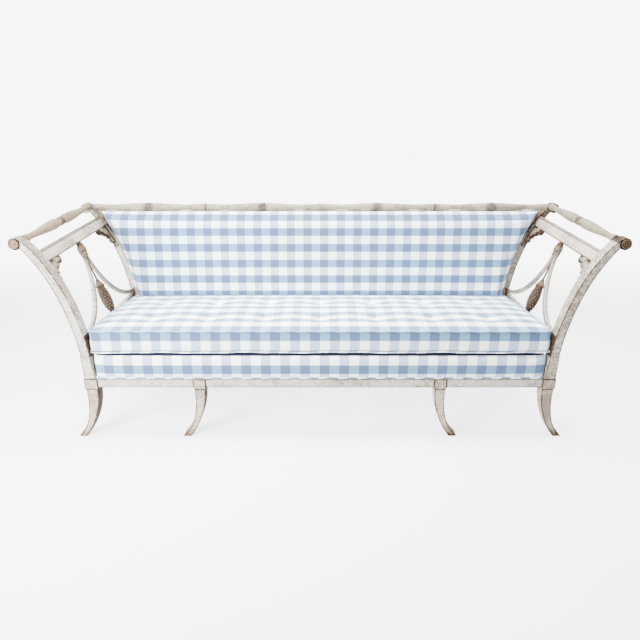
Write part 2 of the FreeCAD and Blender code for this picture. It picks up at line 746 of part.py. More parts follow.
def stile(rear_post):
    """The right stile, cut from a wide board: it stands on the seat rail against the post."""
    side = [V(0, STILE_FOOT_Y, UPSTAND_TOP), V(0, STILE_FOOT_Y, BACK_FOOT_Z),
            V(0, back_face(BACK_FOOT_Z), BACK_FOOT_Z), V(0, back_face(BACK_TOP_Z), BACK_TOP_Z),
            V(0, COVER_Y, BACK_TOP_Z), V(0, COVER_Y, UPSTAND_TOP)]
    side_view = polygon(side, V(2 * CORNER_X, 0, 0))
    low = FLARE_FOOT + ARM_RISE
    post_foot = POST_OUTER_X - POST_WIDTH_LOW
    shank = box(post_foot - PEDESTAL_WIDTH, FRONT, UPSTAND_TOP, post_foot, REAR, low)
    middle = (low + BACK_TOP_Z) / 2
    outer = [V(inner_x(z, ARM_RISE), FRONT, z) for z in (low, middle, BACK_TOP_Z)]
    inner = [p - V(STILE_WIDTH, 0, 0) for p in outer]
    inner[0].x = post_foot - PEDESTAL_WIDTH
    blade = prism([arc(*outer), line(outer[2], inner[2]), arc(inner[2], inner[1], inner[0]),
                   line(inner[0], outer[0])], V(0, FRAME_DEPTH, 0))
    return shank.fuse(blade).common(side_view).cut(rear_post).removeSplitter()


def back_rail(z0, stiles):
    bar = raked_slab(CORNER_X + BLOCK_WIDTH, z0, z0 + BACK_RAIL_HEIGHT, 0, BACK_WOOD_THICK)
    inside = inner_outline(PAD_SIDE_GAP, z0, z0 + BACK_RAIL_HEIGHT, FRONT, COVER_Y - FRONT)
    return bar.common(inside).cut(stiles)


def muntins():
    low = BACK_FOOT_Z + BACK_RAIL_HEIGHT
    slab = raked_slab(MUNTIN_X + MUNTIN_WIDTH / 2, low, BACK_TOP_Z - BACK_RAIL_HEIGHT, 0, BACK_WOOD_THICK)
    gap = raked_slab(MUNTIN_X - MUNTIN_WIDTH / 2, low, BACK_TOP_Z - BACK_RAIL_HEIGHT, 0, BACK_WOOD_THICK)
    return slab.cut(gap)


def back_straps():
    """Upright webbing on the front of the back frame."""
    width = inner_x(BACK_FOOT_Z, ARM_RISE) - STILE_WIDTH * 2
    high = BACK_TOP_Z - BACK_RAIL_HEIGHT / 2
    strap = raked_slab(STRAP_WIDTH / 2, BACK_FOOT_Z + SEAT_GAP, high, -STRAP_THICK, STRAP_THICK)
    straps = []
    for i in range(BACK_STRAPS):
        straps.append(strap.translated(V(width * (2 * i / (BACK_STRAPS - 1) - 1), 0, 0)))
    return Part.makeCompound(straps)


def pad_section(z, thick, inset):
    """A level slice of the back pad: a flat rear, rounded borders and a crowned face."""
    half = inner_x(z, ARM_RISE) - PAD_SIDE_GAP - inset
    y = back_face(z) - STRAP_THICK - SEAT_GAP
    face = y - thick
    border = V(half - PAD_EDGE * 0.25, y - thick * 0.6, z)
    right = V(half, y, z)
    corner = V(half - PAD_EDGE, face, z)
    edges = [line(V(-right.x, right.y, z), right), arc(right, border, corner),
             arc(corner, V(0, face - PAD_CROWN, z), V(-corner.x, corner.y, z)),
             arc(V(-corner.x, corner.y, z), V(-border.x, border.y, z), V(-right.x, right.y, z))]
    return Part.Wire(edges)


def back_pad():
    """The stuffed back, fuller at the loins, with rounded top and foot."""
    height = BACK_TOP_Z - BACK_FOOT_Z
    sections = []
    for share in (0.0, 0.015, 0.06, 0.15, 0.35, 0.55, 0.75, 0.9, 0.965, 1.0):
        fill = (1 - abs(2 * share - 1) ** 10) ** 0.5
        thick = PAD_THICK * (0.45 + 0.55 * fill + 0.08 * (1 - share))
        inset = PAD_EDGE * 0.25 * (1 - fill)
        sections.append(pad_section(BACK_FOOT_Z + SEAT_GAP + height * share, thick, inset))
    return Part.makeLoft(sections, True, True)


def outside_cover():
    """The cloth over the back, from the seat rail up to the crest."""
    step = FLARE_FOOT + ARM_RISE
    upper = inner_outline(PAD_SIDE_GAP / 4, step, BACK_TOP_Z, COVER_Y, COVER_THICK)
    foot = POST_OUTER_X + PEDESTAL_PROUD - PEDESTAL_WIDTH - PAD_SIDE_GAP / 4
    waist = inner_x(step, ARM_RISE) - PAD_SIDE_GAP / 4
    low = RAIL_TOP + SEAT_GAP
    lower = polygon([V(-foot, COVER_Y, low), V(foot, COVER_Y, low), V(waist, COVER_Y, step),
                     V(-waist, COVER_Y, step)], V(0, COVER_THICK, 0))
    return upper.fuse(lower).removeSplitter()


# Seat

STRAP_Z = UPSTAND_TOP
HESSIAN_Z = STRAP_Z + 2 * STRAP_THICK
DECK_UNDER = HESSIAN_Z + HESSIAN_THICK + SEAT_GAP
DECK_REAR = -RAIL_BACK - SEAT_GAP
DECK_FRONT = UPSTAND_FACE - DECK_APRON - SEAT_GAP


def seat_straps():
    """Webbing: one layer from front to rear and one over it from side to side."""
    reach = SIDE_UPSTAND_X - SIDE_UPSTAND_WIDTH - STRAP_WIDTH
    straps = []
    for i in range(SEAT_STRAPS):
        x = reach * (2 * i / (SEAT_STRAPS - 1) - 1)
        straps.append(box(x - STRAP_WIDTH / 2, UPSTAND_FACE + REBATE_DEPTH, STRAP_Z,
                          x + STRAP_WIDTH / 2, -UPSTAND_FACE - REBATE_DEPTH, STRAP_Z + STRAP_THICK))
    for i in range(CROSS_STRAPS):
        y = RAIL_BACK * CROSS_STRAP_SPREAD * (1 - 2 * i / (CROSS_STRAPS - 1))
        straps.append(box(-SIDE_UPSTAND_X, y - STRAP_WIDTH / 2, STRAP_Z + STRAP_THICK,
                          SIDE_UPSTAND_X, y + STRAP_WIDTH / 2, STRAP_Z + 2 * STRAP_THICK))
    return Part.makeCompound(straps)


def hessian():
    return box(-SIDE_UPSTAND_X, UPSTAND_FACE, HESSIAN_Z, SIDE_UPSTAND_X, DECK_REAR, HESSIAN_Z + HESSIAN_THICK)


def deck():
    """The tight seat: a raked, flat-topped pad whose border hangs over the rails' upper part."""
    fall = (DECK_REAR - DECK_FRONT) * tan(SEAT_RAKE)
    soft = DECK_SOFTNESS
    foot = RAIL_TOP + SEAT_GAP
    front = [V(0, DECK_FRONT + soft / 2, foot), V(0, DECK_FRONT, (foot + DECK_TOP_Z) / 2),
             V(0, DECK_FRONT + soft, DECK_TOP_Z - soft)]
    brow = [V(0, DECK_FRONT + 1.6 * soft, DECK_TOP_Z - soft * 0.3),
            V(0, DECK_FRONT + 3 * soft, DECK_TOP_Z - 3 * soft * tan(SEAT_RAKE))]
    back_top = V(0, DECK_REAR, DECK_TOP_Z - fall)
    edges = [arc(*front), line(front[2], brow[0]), line(brow[0], brow[1]), line(brow[1], back_top),
             line(back_top, V(0, DECK_REAR, foot)), line(V(0, DECK_REAR, foot), front[0])]
    loaf = prism(edges, V(DECK_HALF_WIDTH, 0, 0))
    x = DECK_HALF_WIDTH
    side = [V(x - soft / 2, FRONT, foot), V(x, FRONT, (foot + DECK_TOP_Z) / 2),
            V(x - soft, FRONT, DECK_TOP_Z - soft)]
    shoulder = V(x - 1.4 * soft, FRONT, DECK_TOP_Z)
    end = [arc(*side), line(side[2], shoulder), line(shoulder, V(0, FRONT, DECK_TOP_Z)),
           line(V(0, FRONT, DECK_TOP_Z), V(0, FRONT, foot)), line(V(0, FRONT, foot), side[0])]
    half = loaf.common(prism(end, V(0, FRAME_DEPTH, 0)))
    whole = half.fuse(half.mirror(V(), MIRROR)).removeSplitter()
    hollow = SIDE_UPSTAND_X + SEAT_GAP
    well = box(-hollow, UPSTAND_FACE - SEAT_GAP, 0, hollow, REAR, DECK_UNDER)
    return whole.cut(well)


def cushion_section(x, inset, edge, crown):
    """An upright slice of the cushion from front to back: flat below, full sides and a crown."""
    y0 = FRONT + CUSHION_FRONT + inset
    y1 = FRONT + CUSHION_FRONT + CUSHION_DEPTH - inset
    low = (CUSHION_EDGE - edge) / 2
    points = [V(x, y0, low), V(x, y1, low)]
    for share in (0.25, 0.75):
        points.append(V(x, y1 + CUSHION_BULGE, low + edge * share))
    for share in (1.0, 0.92, 0.75, 0.5, 0.25, 0.08, 0.0):
        fullness = 1 - abs(2 * share - 1) ** 2.5
        points.append(V(x, y0 + (y1 - y0) * share, low + edge + crown * fullness))
    for share in (0.75, 0.25):
        points.append(V(x, y0 - CUSHION_BULGE, low + edge * share))
    return Part.makePolygon(points + points[:1])


def cushion():
    """The loose box cushion: crowned, drawn in along its sides, with sewn tufts."""
    sections = []
    for share in (1.0, 0.985, 0.93, 0.8, 0.4, 0.0, -0.4, -0.8, -0.93, -0.985, -1.0):
        fill = (1 - abs(share) ** 12) ** 0.5
        inset = CUSHION_BULGE + CUSHION_DRAW * (1 - share ** 2)
        edge = CUSHION_EDGE * (0.8 + 0.2 * fill)
        crown = CUSHION_CROWN * (0.2 + 0.8 * fill)
        sections.append(cushion_section(CUSHION_HALF_WIDTH * share, inset, edge, crown))
    pad = Part.makeLoft(sections, True, True)
    dimples = []
    for i in range(TUFTS_PER_ROW):
        x = TUFT_PITCH * (i - (TUFTS_PER_ROW - 1) / 2)
        for share in TUFT_ROWS:
            y = FRONT + CUSHION_FRONT + CUSHION_DEPTH * share
            top = CUSHION_EDGE + CUSHION_CROWN
            dimples.append(Part.makeCone(0, 2 * TUFT_RADIUS, 2 * TUFT_SINK, V(x, y, top - TUFT_SINK)))
    pad = pad.cut(dimples)
    hinge = V(0, DECK_FRONT, 0)
    pad.rotate(hinge, V(1, 0, 0), -SEAT_RAKE)
    return pad.translated(V(0, 0, DECK_TOP_Z + SEAT_GAP))


os.makedirs("parts", exist_ok=True)

front_post = post(FRONT, -1, 0)
rear_post = post(REAR, 1, ARM_RISE)
sockets = [arm_rail_sockets(), board_sockets()]
save_pair("front_{}_post", front_post.cut(sockets + [post_dowel(FIT)]))
save_pair("rear_{}_post", rear_post.cut(sockets + [front_to_rear(post_dowel(FIT))]))

corner_leg = leg(CORNER_X, BLOCK_WIDTH).cut([rail_tenon(FIT), side_tenon(FIT), post_dowel(FIT)])
middle_leg = leg(MIDDLE_LEG_X + MIDDLE_BLOCK_WIDTH / 2, MIDDLE_BLOCK_WIDTH).cut(middle_bridle(FIT))
save_pair("front_{}_leg", corner_leg)
save_pair("rear_{}_leg", front_to_rear(corner_leg))
save_pair("front_{}_middle_leg", middle_leg)
save_pair("rear_{}_middle_leg", front_to_rear(middle_leg))

rail = front_rail()
save("front_seat_rail", rail)
save("rear_seat_rail", front_to_rear(rail))
save_pair("{}_side_rail", side_rail())
for side, tenon, x in zip(("left", "right"), cross_tenons(), (-MIDDLE_LEG_X, MIDDLE_LEG_X)):
    save(side + "_cross_rail", cross_rail(tenon, x))

save("corner_blocks", four_corners(corner_block()))
save("post_dowels", four_corners(post_dowel()))

board = arm_board()
swag_knot = knot().cut(board)
rod = swag_rod().cut([swag_knot, front_post])
save_pair("{}_arm_rail", arm_rail())
save_pair("{}_arm_board", board)
save_pair("{}_lower_arm_bar", lower_bar())
save_pair("{}_arm_knot", swag_knot)
save_pair("{}_front_swag", rod)
save_pair("{}_rear_swag", front_to_rear(rod))
save_pair("{}_pine_cone", pine_cone())
save_pair("{}_front_spandrel", spandrel(False).cut([board, front_post]))
save_pair("{}_rear_spandrel", spandrel(True).cut([board, rear_post]))

save_pair("{}_crest_rail", crest_half().cut([rear_post, crest_dowel(FIT)]))
save("crest_dowel", crest_dowel())

right_stile = stile(rear_post)
stiles = [right_stile, right_stile.mirror(V(), MIRROR)]
save_pair("back_{}_stile", right_stile)
save("back_bottom_rail", back_rail(BACK_FOOT_Z, stiles))
save("back_top_rail", back_rail(BACK_TOP_Z - BACK_RAIL_HEIGHT, stiles))
save("back_muntins", muntins())
save("back_webbing", back_straps())
save("back_pad", back_pad())
save("outside_back_cover", outside_cover().cut([rear_post, rear_post.mirror(V(), MIRROR)]))

save("seat_webbing", seat_straps())
save("seat_hessian", hessian())
save("seat_deck", deck())
save("seat_cushion", cushion())
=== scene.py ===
import math

import bmesh
import bpy
import numpy as np
from mathutils import Matrix, Vector


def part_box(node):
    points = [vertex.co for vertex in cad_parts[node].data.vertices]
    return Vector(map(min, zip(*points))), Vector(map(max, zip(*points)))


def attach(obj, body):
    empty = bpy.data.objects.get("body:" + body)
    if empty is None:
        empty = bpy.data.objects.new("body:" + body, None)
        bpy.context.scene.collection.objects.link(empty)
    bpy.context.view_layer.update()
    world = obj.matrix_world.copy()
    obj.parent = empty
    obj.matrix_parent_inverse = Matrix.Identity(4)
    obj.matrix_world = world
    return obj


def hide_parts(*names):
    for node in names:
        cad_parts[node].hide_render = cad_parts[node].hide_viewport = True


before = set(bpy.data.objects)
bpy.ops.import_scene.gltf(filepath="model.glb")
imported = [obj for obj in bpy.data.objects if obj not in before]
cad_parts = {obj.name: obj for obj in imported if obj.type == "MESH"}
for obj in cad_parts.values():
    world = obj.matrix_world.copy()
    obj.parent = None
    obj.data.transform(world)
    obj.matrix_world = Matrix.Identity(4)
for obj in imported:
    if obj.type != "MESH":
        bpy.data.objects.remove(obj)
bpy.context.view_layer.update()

bl_info = {
    "name": "Flared Painted Sofa",
    "version": (1, 0, 0),
    "blender": (4, 5, 0),
    "location": "View3D > Sidebar > Sofa",
    "description": "Dresses a painted show-wood sofa with worn paint, turnings, carving and checked cloth",
    "category": "Object",
}

SIDES = ("left", "right")
ENDS = ("front", "rear")
CUSHION_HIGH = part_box("seat_cushion")[1]
DECK_LOW, DECK_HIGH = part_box("seat_deck")
SEAT_RAKE = math.radians(2.6)
BACK_SLOPE = math.cos(math.radians(8.5))
CUSHION_EDGE = 0.084
SCROLL_RADIUS = 0.022
ARM_FRONT = -0.293
ARM_RISE = 0.014
ARM_RAIL_X, ARM_RAIL_Z = 1.0696, 0.8122
CREST_Y, CREST_Z, CREST_REACH = 0.314, 0.823, 1.0626
BOARD_HEADING = math.radians(31.98)
BOARD_MIDDLE = Vector((1.0220, ARM_FRONT, 0.74335))
BRACKET_HEADING = math.radians(25.6)
KNOT_TOP = Vector((1.00825, 0.0, 0.7283))
BAR_LOW, BAR_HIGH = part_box("right_lower_arm_bar")
ARM_FOOT = Vector(((BAR_LOW.x + BAR_HIGH.x) / 2, 0.0, BAR_HIGH.z))
ARM_UP = (KNOT_TOP - ARM_FOOT).normalized()
ROD_CENTRE = (KNOT_TOP - ARM_FOOT).length - 0.0399
ROD_RADIUS = 0.276
ARM_ACROSS = Vector((0, 1, 0))
ARM_NORMAL = ARM_UP.cross(ARM_ACROSS)
CONE_LENGTH, CONE_ROWS, CONE_SCALES = 0.150, 12, 9
SHARP = 32.0                   # degrees: edges above this are worn
WORN_BORDER = 0.0044           # rubbed border of the flat faces
JOINT_LINE = 0.0026            # width of a scribed joint
JOINT_HEIGHT = 0.360           # of the post's joint
SEAT_CORNER = 0.007            # rounding of the tight seat's upright corners
DARK_POST = (0.60, 0.78)       # heights between which the rear posts take painted shadow, drawn as dark bare wood, beside the back
SHADOW_LINING_SHOWS = 0.010           # painted shade: the dark edge of the tight seat that shows under the cushion
SMALL = 1e-5


class SofaCloth(bpy.types.PropertyGroup):
    """The checked cloth and what is sewn from it."""

    check: bpy.props.FloatProperty(
        name="Check", description="Side of one square", default=0.0381, unit="LENGTH")
    white: bpy.props.FloatVectorProperty(
        name="Ground", description="Undyed yarn", default=(0.91, 0.925, 0.93), subtype="COLOR")
    warp: bpy.props.FloatVectorProperty(
        name="Warp", description="Where only the upright stripe is dyed",
        default=(0.345, 0.43, 0.55), subtype="COLOR")
    weft: bpy.props.FloatVectorProperty(
        name="Weft", description="Where only the level stripe is dyed",
        default=(0.115, 0.235, 0.375), subtype="COLOR")
    both: bpy.props.FloatVectorProperty(
        name="Both", description="Where both stripes are dyed",
        default=(0.058, 0.100, 0.182), subtype="COLOR")
    piping: bpy.props.FloatProperty(
        name="Piping", description="Thickness of the piped seams", default=0.0058, unit="LENGTH")
    tuft_pitch: bpy.props.FloatProperty(
        name="Tuft pitch", description="Distance between tufts along the seat", default=0.225, unit="LENGTH")
    tuft_sink: bpy.props.FloatProperty(
        name="Tuft sink", description="How deep a tuft is drawn in", default=0.020, unit="LENGTH")
    seat_row: bpy.props.FloatProperty(
        name="Seat row", description="Height of a row on the slack top of the seat",
        default=0.0388, unit="LENGTH")
    back_row: bpy.props.FloatProperty(
        name="Back row", description="Height of a row on the stretched back", default=0.0362, unit="LENGTH")
    back_start: bpy.props.FloatProperty(
        name="Back start", description="Where the first row of the back starts below its top edge",
        default=-0.008, unit="LENGTH")
    deck_row: bpy.props.FloatProperty(
        name="Tight seat row", description="Height at which a row of the tight seat starts",
        default=0.290, unit="LENGTH")
    deck_column: bpy.props.FloatProperty(
        name="Tight seat column", description="Where a column of the tight seat starts",
        default=-0.001, unit="LENGTH")


class SofaPaint(bpy.types.PropertyGroup):
    """The worn paint on the show wood."""

    paint: bpy.props.FloatVectorProperty(
        name="Paint", description="Chalky top coat", default=(0.455, 0.43, 0.38), subtype="COLOR")
    shade: bpy.props.FloatVectorProperty(
        name="Old coat", description="Greyer coat that shows in patches",
        default=(0.20, 0.185, 0.16), subtype="COLOR")
    undercoat: bpy.props.FloatVectorProperty(
        name="Undercoat", description="Warm coat under the paint",
        default=(0.205, 0.163, 0.115), subtype="COLOR")
    wood: bpy.props.FloatVectorProperty(
        name="Wood", description="Bare wood at worn edges", default=(0.032, 0.019, 0.011), subtype="COLOR")
    edge: bpy.props.FloatProperty(
        name="Edge", description="Rounding of the worn edges", default=0.0034, unit="LENGTH")


class SofaStage(bpy.types.PropertyGroup):
    """The camera's place and the studio."""

    camera: bpy.props.FloatVectorProperty(
        name="Camera", description="Where the camera stands",
        default=(0.0, -2.194, 1.2624), subtype="TRANSLATION")
    tilt: bpy.props.FloatProperty(
        name="Tilt", description="How far the camera looks down",
        default=math.radians(21.894), subtype="ANGLE")
    lens: bpy.props.FloatProperty(
        name="Lens", description="Focal length on a 36 mm sensor", default=30.094)
    backdrop: bpy.props.FloatProperty(
        name="Backdrop", description="Brightness of the background", default=8.0)
    sky: bpy.props.FloatProperty(
        name="Sky", description="Strength of the light above the background", default=4.9)
    behind: bpy.props.FloatProperty(
        name="Behind", description="Strength of the light from behind the camera", default=0.2)
    horizon: bpy.props.FloatProperty(
        name="Horizon", description="Brightness of the background behind the camera", default=2.2)
    key: bpy.props.FloatProperty(
        name="Key", description="Power of the light at the front on the left", default=100.0, unit="POWER")
    top: bpy.props.FloatProperty(
        name="Top", description="Power of the light over the seat", default=72.0, unit="POWER")


def settings():
    return bpy.context.scene.sofa_cloth, bpy.context.scene.sofa_paint, bpy.context.scene.sofa_stage


# Shader nodes

def add_node(tree, kind, inputs=None, **values):
    """A node with its properties set and its inputs filled or linked."""
    made = tree.nodes.new(kind)
    for key, value in values.items():
        setattr(made, key, value)
    for key, value in (inputs or {}).items():
        if isinstance(value, bpy.types.NodeSocket):
            tree.links.new(value, made.inputs[key])
        else:
            made.inputs[key].default_value = value
    return made


def math_node(tree, operation, a, b=0.0, c=0.0):
    return add_node(tree, "ShaderNodeMath", {0: a, 1: b, 2: c}, operation=operation).outputs[0]


def mix_colour(tree, factor, a, b):
    return add_node(tree, "ShaderNodeMix", {0: factor, 6: a, 7: b}, data_type="RGBA").outputs[2]


def ramp(tree, value, low, high):
    """0 below low, 1 above high and a smooth rise between."""
    made = add_node(tree, "ShaderNodeMapRange", {0: value, 1: low, 2: high}, interpolation_type="SMOOTHSTEP")
    return made.outputs[0]


def noise(tree, vector, scale, detail=4.0, roughness=0.55):
    made = add_node(tree, "ShaderNodeTexNoise",
                    {"Vector": vector, "Scale": scale, "Detail": detail, "Roughness": roughness})
    return made.outputs["Fac"]


def new_group(name, inputs, outputs):
    """An empty node group with named sockets, and its two ends."""
    tree = bpy.data.node_groups.new(name, "ShaderNodeTree")
    for socket, kind in inputs:
        tree.interface.new_socket(socket, in_out="INPUT", socket_type="NodeSocket" + kind)
    for socket, kind in outputs:
        tree.interface.new_socket(socket, in_out="OUTPUT", socket_type="NodeSocket" + kind)
    return tree, tree.nodes.new("NodeGroupInput").outputs, tree.nodes.new("NodeGroupOutput").inputs


def aged_paint_group():
    """Mottled chalk paint, rubbed through to the undercoat and the wood, and darkened towards the wood by the
    Deep attribute: dirt and painted shade in recesses.
    """
    tree, given, out = new_group(
        "Aged Paint",
        [("Vector", "Vector"), ("Edge", "Float"), ("Deep", "Float"), ("Wear", "Float"), ("Paint", "Color"),
         ("Old Coat", "Color"), ("Undercoat", "Color"), ("Wood", "Color")],
        [("Color", "Color"), ("Roughness", "Float"), ("Height", "Float")])
    cloud = noise(tree, given["Vector"], 7.0, 5.0)
    grit = noise(tree, given["Vector"], 62.0, 6.0, 0.65)
    brush = noise(tree, given["Vector"], 260.0, 3.0)
    fleck = noise(tree, given["Vector"], 150.0, 6.0, 0.75)
    patchy = math_node(tree, "MULTIPLY_ADD", fleck, 0.9, math_node(tree, "MULTIPLY_ADD", grit, 0.9, cloud))
    patchy = ramp(tree, patchy, 1.28, 1.66)
    coat = mix_colour(tree, patchy, given["Paint"], given["Old Coat"])
    worn_spots = math_node(tree, "MULTIPLY", ramp(tree, fleck, 0.535, 0.625), 0.8)
    coat = mix_colour(tree, worn_spots, coat, given["Undercoat"])
    rubbed = math_node(tree, "MULTIPLY_ADD", grit, 0.6, math_node(tree, "MULTIPLY_ADD", cloud, 0.5, -1.05))
    rubbed = math_node(tree, "MULTIPLY_ADD", fleck, 1.0, rubbed)
    rubbed = math_node(tree, "MULTIPLY_ADD", given["Edge"], 0.68, rubbed)
    rubbed = math_node(tree, "MULTIPLY_ADD", given["Wear"], 0.3, rubbed)
    height = add_node(tree, "ShaderNodeSeparateXYZ", {0: given["Vector"]}).outputs["Z"]
    rubbed = math_node(tree, "MULTIPLY_ADD", ramp(tree, height, 0.055, 0.0), 0.45, rubbed)
    under = ramp(tree, rubbed, 0.20, 0.38)
    bare = ramp(tree, rubbed, 0.52, 0.70)
    colour = mix_colour(tree, under, coat, given["Undercoat"])
    colour = mix_colour(tree, bare, colour, given["Wood"])
    # Deep darkens quirks, hollows and the recesses between leaves: dirt and painted shade
    grime_and_shade = math_node(tree, "MULTIPLY", given["Deep"], math_node(tree, "MULTIPLY_ADD", grit, 0.7, 0.45))
    colour = mix_colour(tree, grime_and_shade, colour, given["Wood"])
    tree.links.new(colour, out["Color"])
    tree.links.new(math_node(tree, "MULTIPLY_ADD", bare, 0.12, 0.55), out["Roughness"])
    relief = math_node(tree, "MULTIPLY_ADD", brush, 0.35, math_node(tree, "MULTIPLY", bare, -0.6))
    tree.links.new(relief, out["Height"])
    return tree


def gingham_group():
    """A woven check: stripes run both ways, and where they cross the colour is deepest."""
    tree, given, out = new_group(
        "Gingham",
        [("Vector", "Vector"), ("Check", "Float"), ("Column Shift", "Float"),
         ("Ground", "Color"), ("Warp", "Color"), ("Weft", "Color"), ("Both", "Color")],
        [("Color", "Color"), ("Height", "Float")])
    axes = add_node(tree, "ShaderNodeSeparateXYZ", {0: given["Vector"]})

    def stripe(place, shift):
        """1 on the dyed stripes, the first of which starts at the shift."""
        along = math_node(tree, "DIVIDE", math_node(tree, "SUBTRACT", place, shift), given["Check"])
        there = math_node(tree, "PINGPONG", math_node(tree, "ADD", along, 0.5), 1.0)
        return ramp(tree, there, 0.47, 0.53)

    column = stripe(axes.outputs["X"], given["Column Shift"])
    row = stripe(axes.outputs["Y"], 0.0)
    plain = mix_colour(tree, column, given["Ground"], given["Warp"])
    dyed = mix_colour(tree, column, given["Weft"], given["Both"])
    colour = mix_colour(tree, row, plain, dyed)
    slub = noise(tree, given["Vector"], 330.0, 3.0)
    shade = add_node(tree, "ShaderNodeHueSaturation",
                     {"Color": colour, "Value": math_node(tree, "MULTIPLY_ADD", slub, 0.14, 0.93)})
    tree.links.new(shade.outputs[0], out["Color"])
    warp_yarn = math_node(tree, "SINE", math_node(tree, "MULTIPLY", axes.outputs["X"], 4200.0))
    weft_yarn = math_node(tree, "SINE", math_node(tree, "MULTIPLY", axes.outputs["Y"], 4200.0))
    yarn = math_node(tree, "MULTIPLY_ADD", math_node(tree, "MULTIPLY", warp_yarn, weft_yarn), 0.25, slub)
    tree.links.new(yarn, out["Height"])
    return tree


def wood_grain_group():
    """Sawn softwood: long rings and fine pores along X of the given place."""
    tree, given, out = new_group(
        "Wood Grain", [("Vector", "Vector"), ("Early", "Color"), ("Late", "Color")],
        [("Color", "Color"), ("Height", "Float")])
    stretched = add_node(tree, "ShaderNodeMapping", {"Vector": given["Vector"], "Scale": (1.2, 16.0, 16.0)})
    rings = noise(tree, stretched.outputs[0], 3.2, 3.0)
    bands = math_node(tree, "PINGPONG", math_node(tree, "MULTIPLY", rings, 9.0), 1.0)
    pores = noise(tree, stretched.outputs[0], 38.0, 2.0)
    mixed = math_node(tree, "MULTIPLY_ADD", pores, 0.5, math_node(tree, "MULTIPLY", bands, 0.6))
    tree.links.new(mix_colour(tree, mixed, given["Early"], given["Late"]), out["Color"])
    tree.links.new(mixed, out["Height"])
    return tree


def weave_group():
    """Plain weave of coarse yarn."""
    tree, given, out = new_group(
        "Coarse Weave", [("Vector", "Vector"), ("Yarn", "Float"), ("Light", "Color"), ("Dark", "Color")],
        [("Color", "Color"), ("Height", "Float")])
    axes = add_node(tree, "ShaderNodeSeparateXYZ", {0: given["Vector"]})
    turns = math_node(tree, "DIVIDE", math.pi, given["Yarn"])
    across = math_node(tree, "SINE", math_node(tree, "MULTIPLY", axes.outputs["X"], turns))
    along = math_node(tree, "SINE", math_node(tree, "MULTIPLY", axes.outputs["Y"], turns))
    over = math_node(tree, "MULTIPLY_ADD", math_node(tree, "MULTIPLY", across, along), 0.5, 0.5)
    fluff = math_node(tree, "MULTIPLY_ADD", noise(tree, given["Vector"], 180.0, 3.0), 0.6, over)
    tree.links.new(mix_colour(tree, math_node(tree, "MULTIPLY", fluff, 0.7), given["Dark"], given["Light"]),
                   out["Color"])
    tree.links.new(fluff, out["Height"])
    return tree


GROUP_BUILDERS = {"Aged Paint": aged_paint_group, "Gingham": gingham_group, "Wood Grain": wood_grain_group,
                  "Coarse Weave": weave_group}


def colour4(value):
    return (*value, 1.0)


def grouped_material(name, group_name, place, values, strength, distance, roughness=0.8, specular=0.5):
    """A material whose colour and bump come from one of the shared groups."""
    known = bpy.data.materials.get(name)
    if known:
        return known
    made = bpy.data.materials.new(name)
    made.use_nodes = True
    tree = made.node_tree
    shader = tree.nodes["Principled BSDF"]
    shader.inputs["Roughness"].default_value = roughness
    shader.inputs["Specular IOR Level"].default_value = specular
    shared = bpy.data.node_groups.get(group_name) or GROUP_BUILDERS[group_name]()
    if place == "Object":
        vector = add_node(tree, "ShaderNodeTexCoord").outputs["Object"]
    else:
        vector = add_node(tree, "ShaderNodeUVMap", uv_map=place).outputs[0]
    group = add_node(tree, "ShaderNodeGroup", node_tree=shared)
    tree.links.new(vector, group.inputs["Vector"])
    for key, value in values.items():
        group.inputs[key].default_value = value
    for attribute in ("Edge", "Deep"):
        if attribute in group.inputs:
            mask = add_node(tree, "ShaderNodeAttribute", attribute_name=attribute.lower())
            tree.links.new(mask.outputs["Fac"], group.inputs[attribute])
    tree.links.new(group.outputs["Color"], shader.inputs["Base Color"])
    if "Roughness" in group.outputs:
        tree.links.new(group.outputs["Roughness"], shader.inputs["Roughness"])
    relief = add_node(tree, "ShaderNodeBump",
                      {"Height": group.outputs["Height"], "Strength": strength, "Distance": distance})
    tree.links.new(relief.outputs[0], shader.inputs["Normal"])
    return made


def paint_material(name, wear, paint=None, undercoat=None):
    """The worn paint, on pieces more or less rubbed, with its own coats if given."""
    chosen = settings()[1]
    paint = Vector(paint or chosen.paint)
    ratio = chosen.shade[1] / chosen.paint[1]
    values = {"Wear": wear, "Paint": colour4(paint), "Old Coat": colour4(paint * ratio),
              "Undercoat": colour4(undercoat or chosen.undercoat), "Wood": colour4(chosen.wood)}
    return grouped_material(name, "Aged Paint", "Object", values, 0.35, 0.0012, specular=0.12)


def gingham_material(name, column_shift, painted_highlight=0.0):
    """The checked cloth with its columns set to one piece, lightened towards white by the given share: a
    painted highlight.

    Rows start from the piece's own map."""
    cloth = settings()[0]
    white = Vector(cloth.white)
    values = {"Check": cloth.check, "Column Shift": column_shift, "Ground": colour4(white),
              "Warp": colour4(Vector(cloth.warp).lerp(white, painted_highlight)),
              "Weft": colour4(Vector(cloth.weft).lerp(white, painted_highlight * 0.3)),
              "Both": colour4(Vector(cloth.both).lerp(Vector(cloth.weft), painted_highlight))}
    made = grouped_material(name, "Gingham", "cloth", values, 0.25, 0.0006, 0.85, 0.25)
    made.node_tree.nodes["Principled BSDF"].inputs["Sheen Weight"].default_value = 0.30
    return made


def piping_material(name, light, dark):
    """Cloth cut across the check, so that the piping shows light and dark dashes."""
    cloth = settings()[0]
    values = {"Check": cloth.check, "Ground": colour4(light), "Warp": colour4(dark), "Weft": colour4(light),
              "Both": colour4(dark)}
    return grouped_material(name, "Gingham", "cloth", values, 0.3, 0.0006, 0.85)


def lining_material():
    """Dark navy lining on the tight seat under the cushion, also put as painted shade at the back's sides and
    under the cushion's front.
    """
    navy = {"Yarn": 0.0012, "Light": (0.010, 0.014, 0.028, 1), "Dark": (0.004, 0.006, 0.012, 1)}
    return grouped_material("shadow_lining", "Coarse Weave", "cloth", navy, 0.3, 0.0006, specular=0.1)


# Meshes

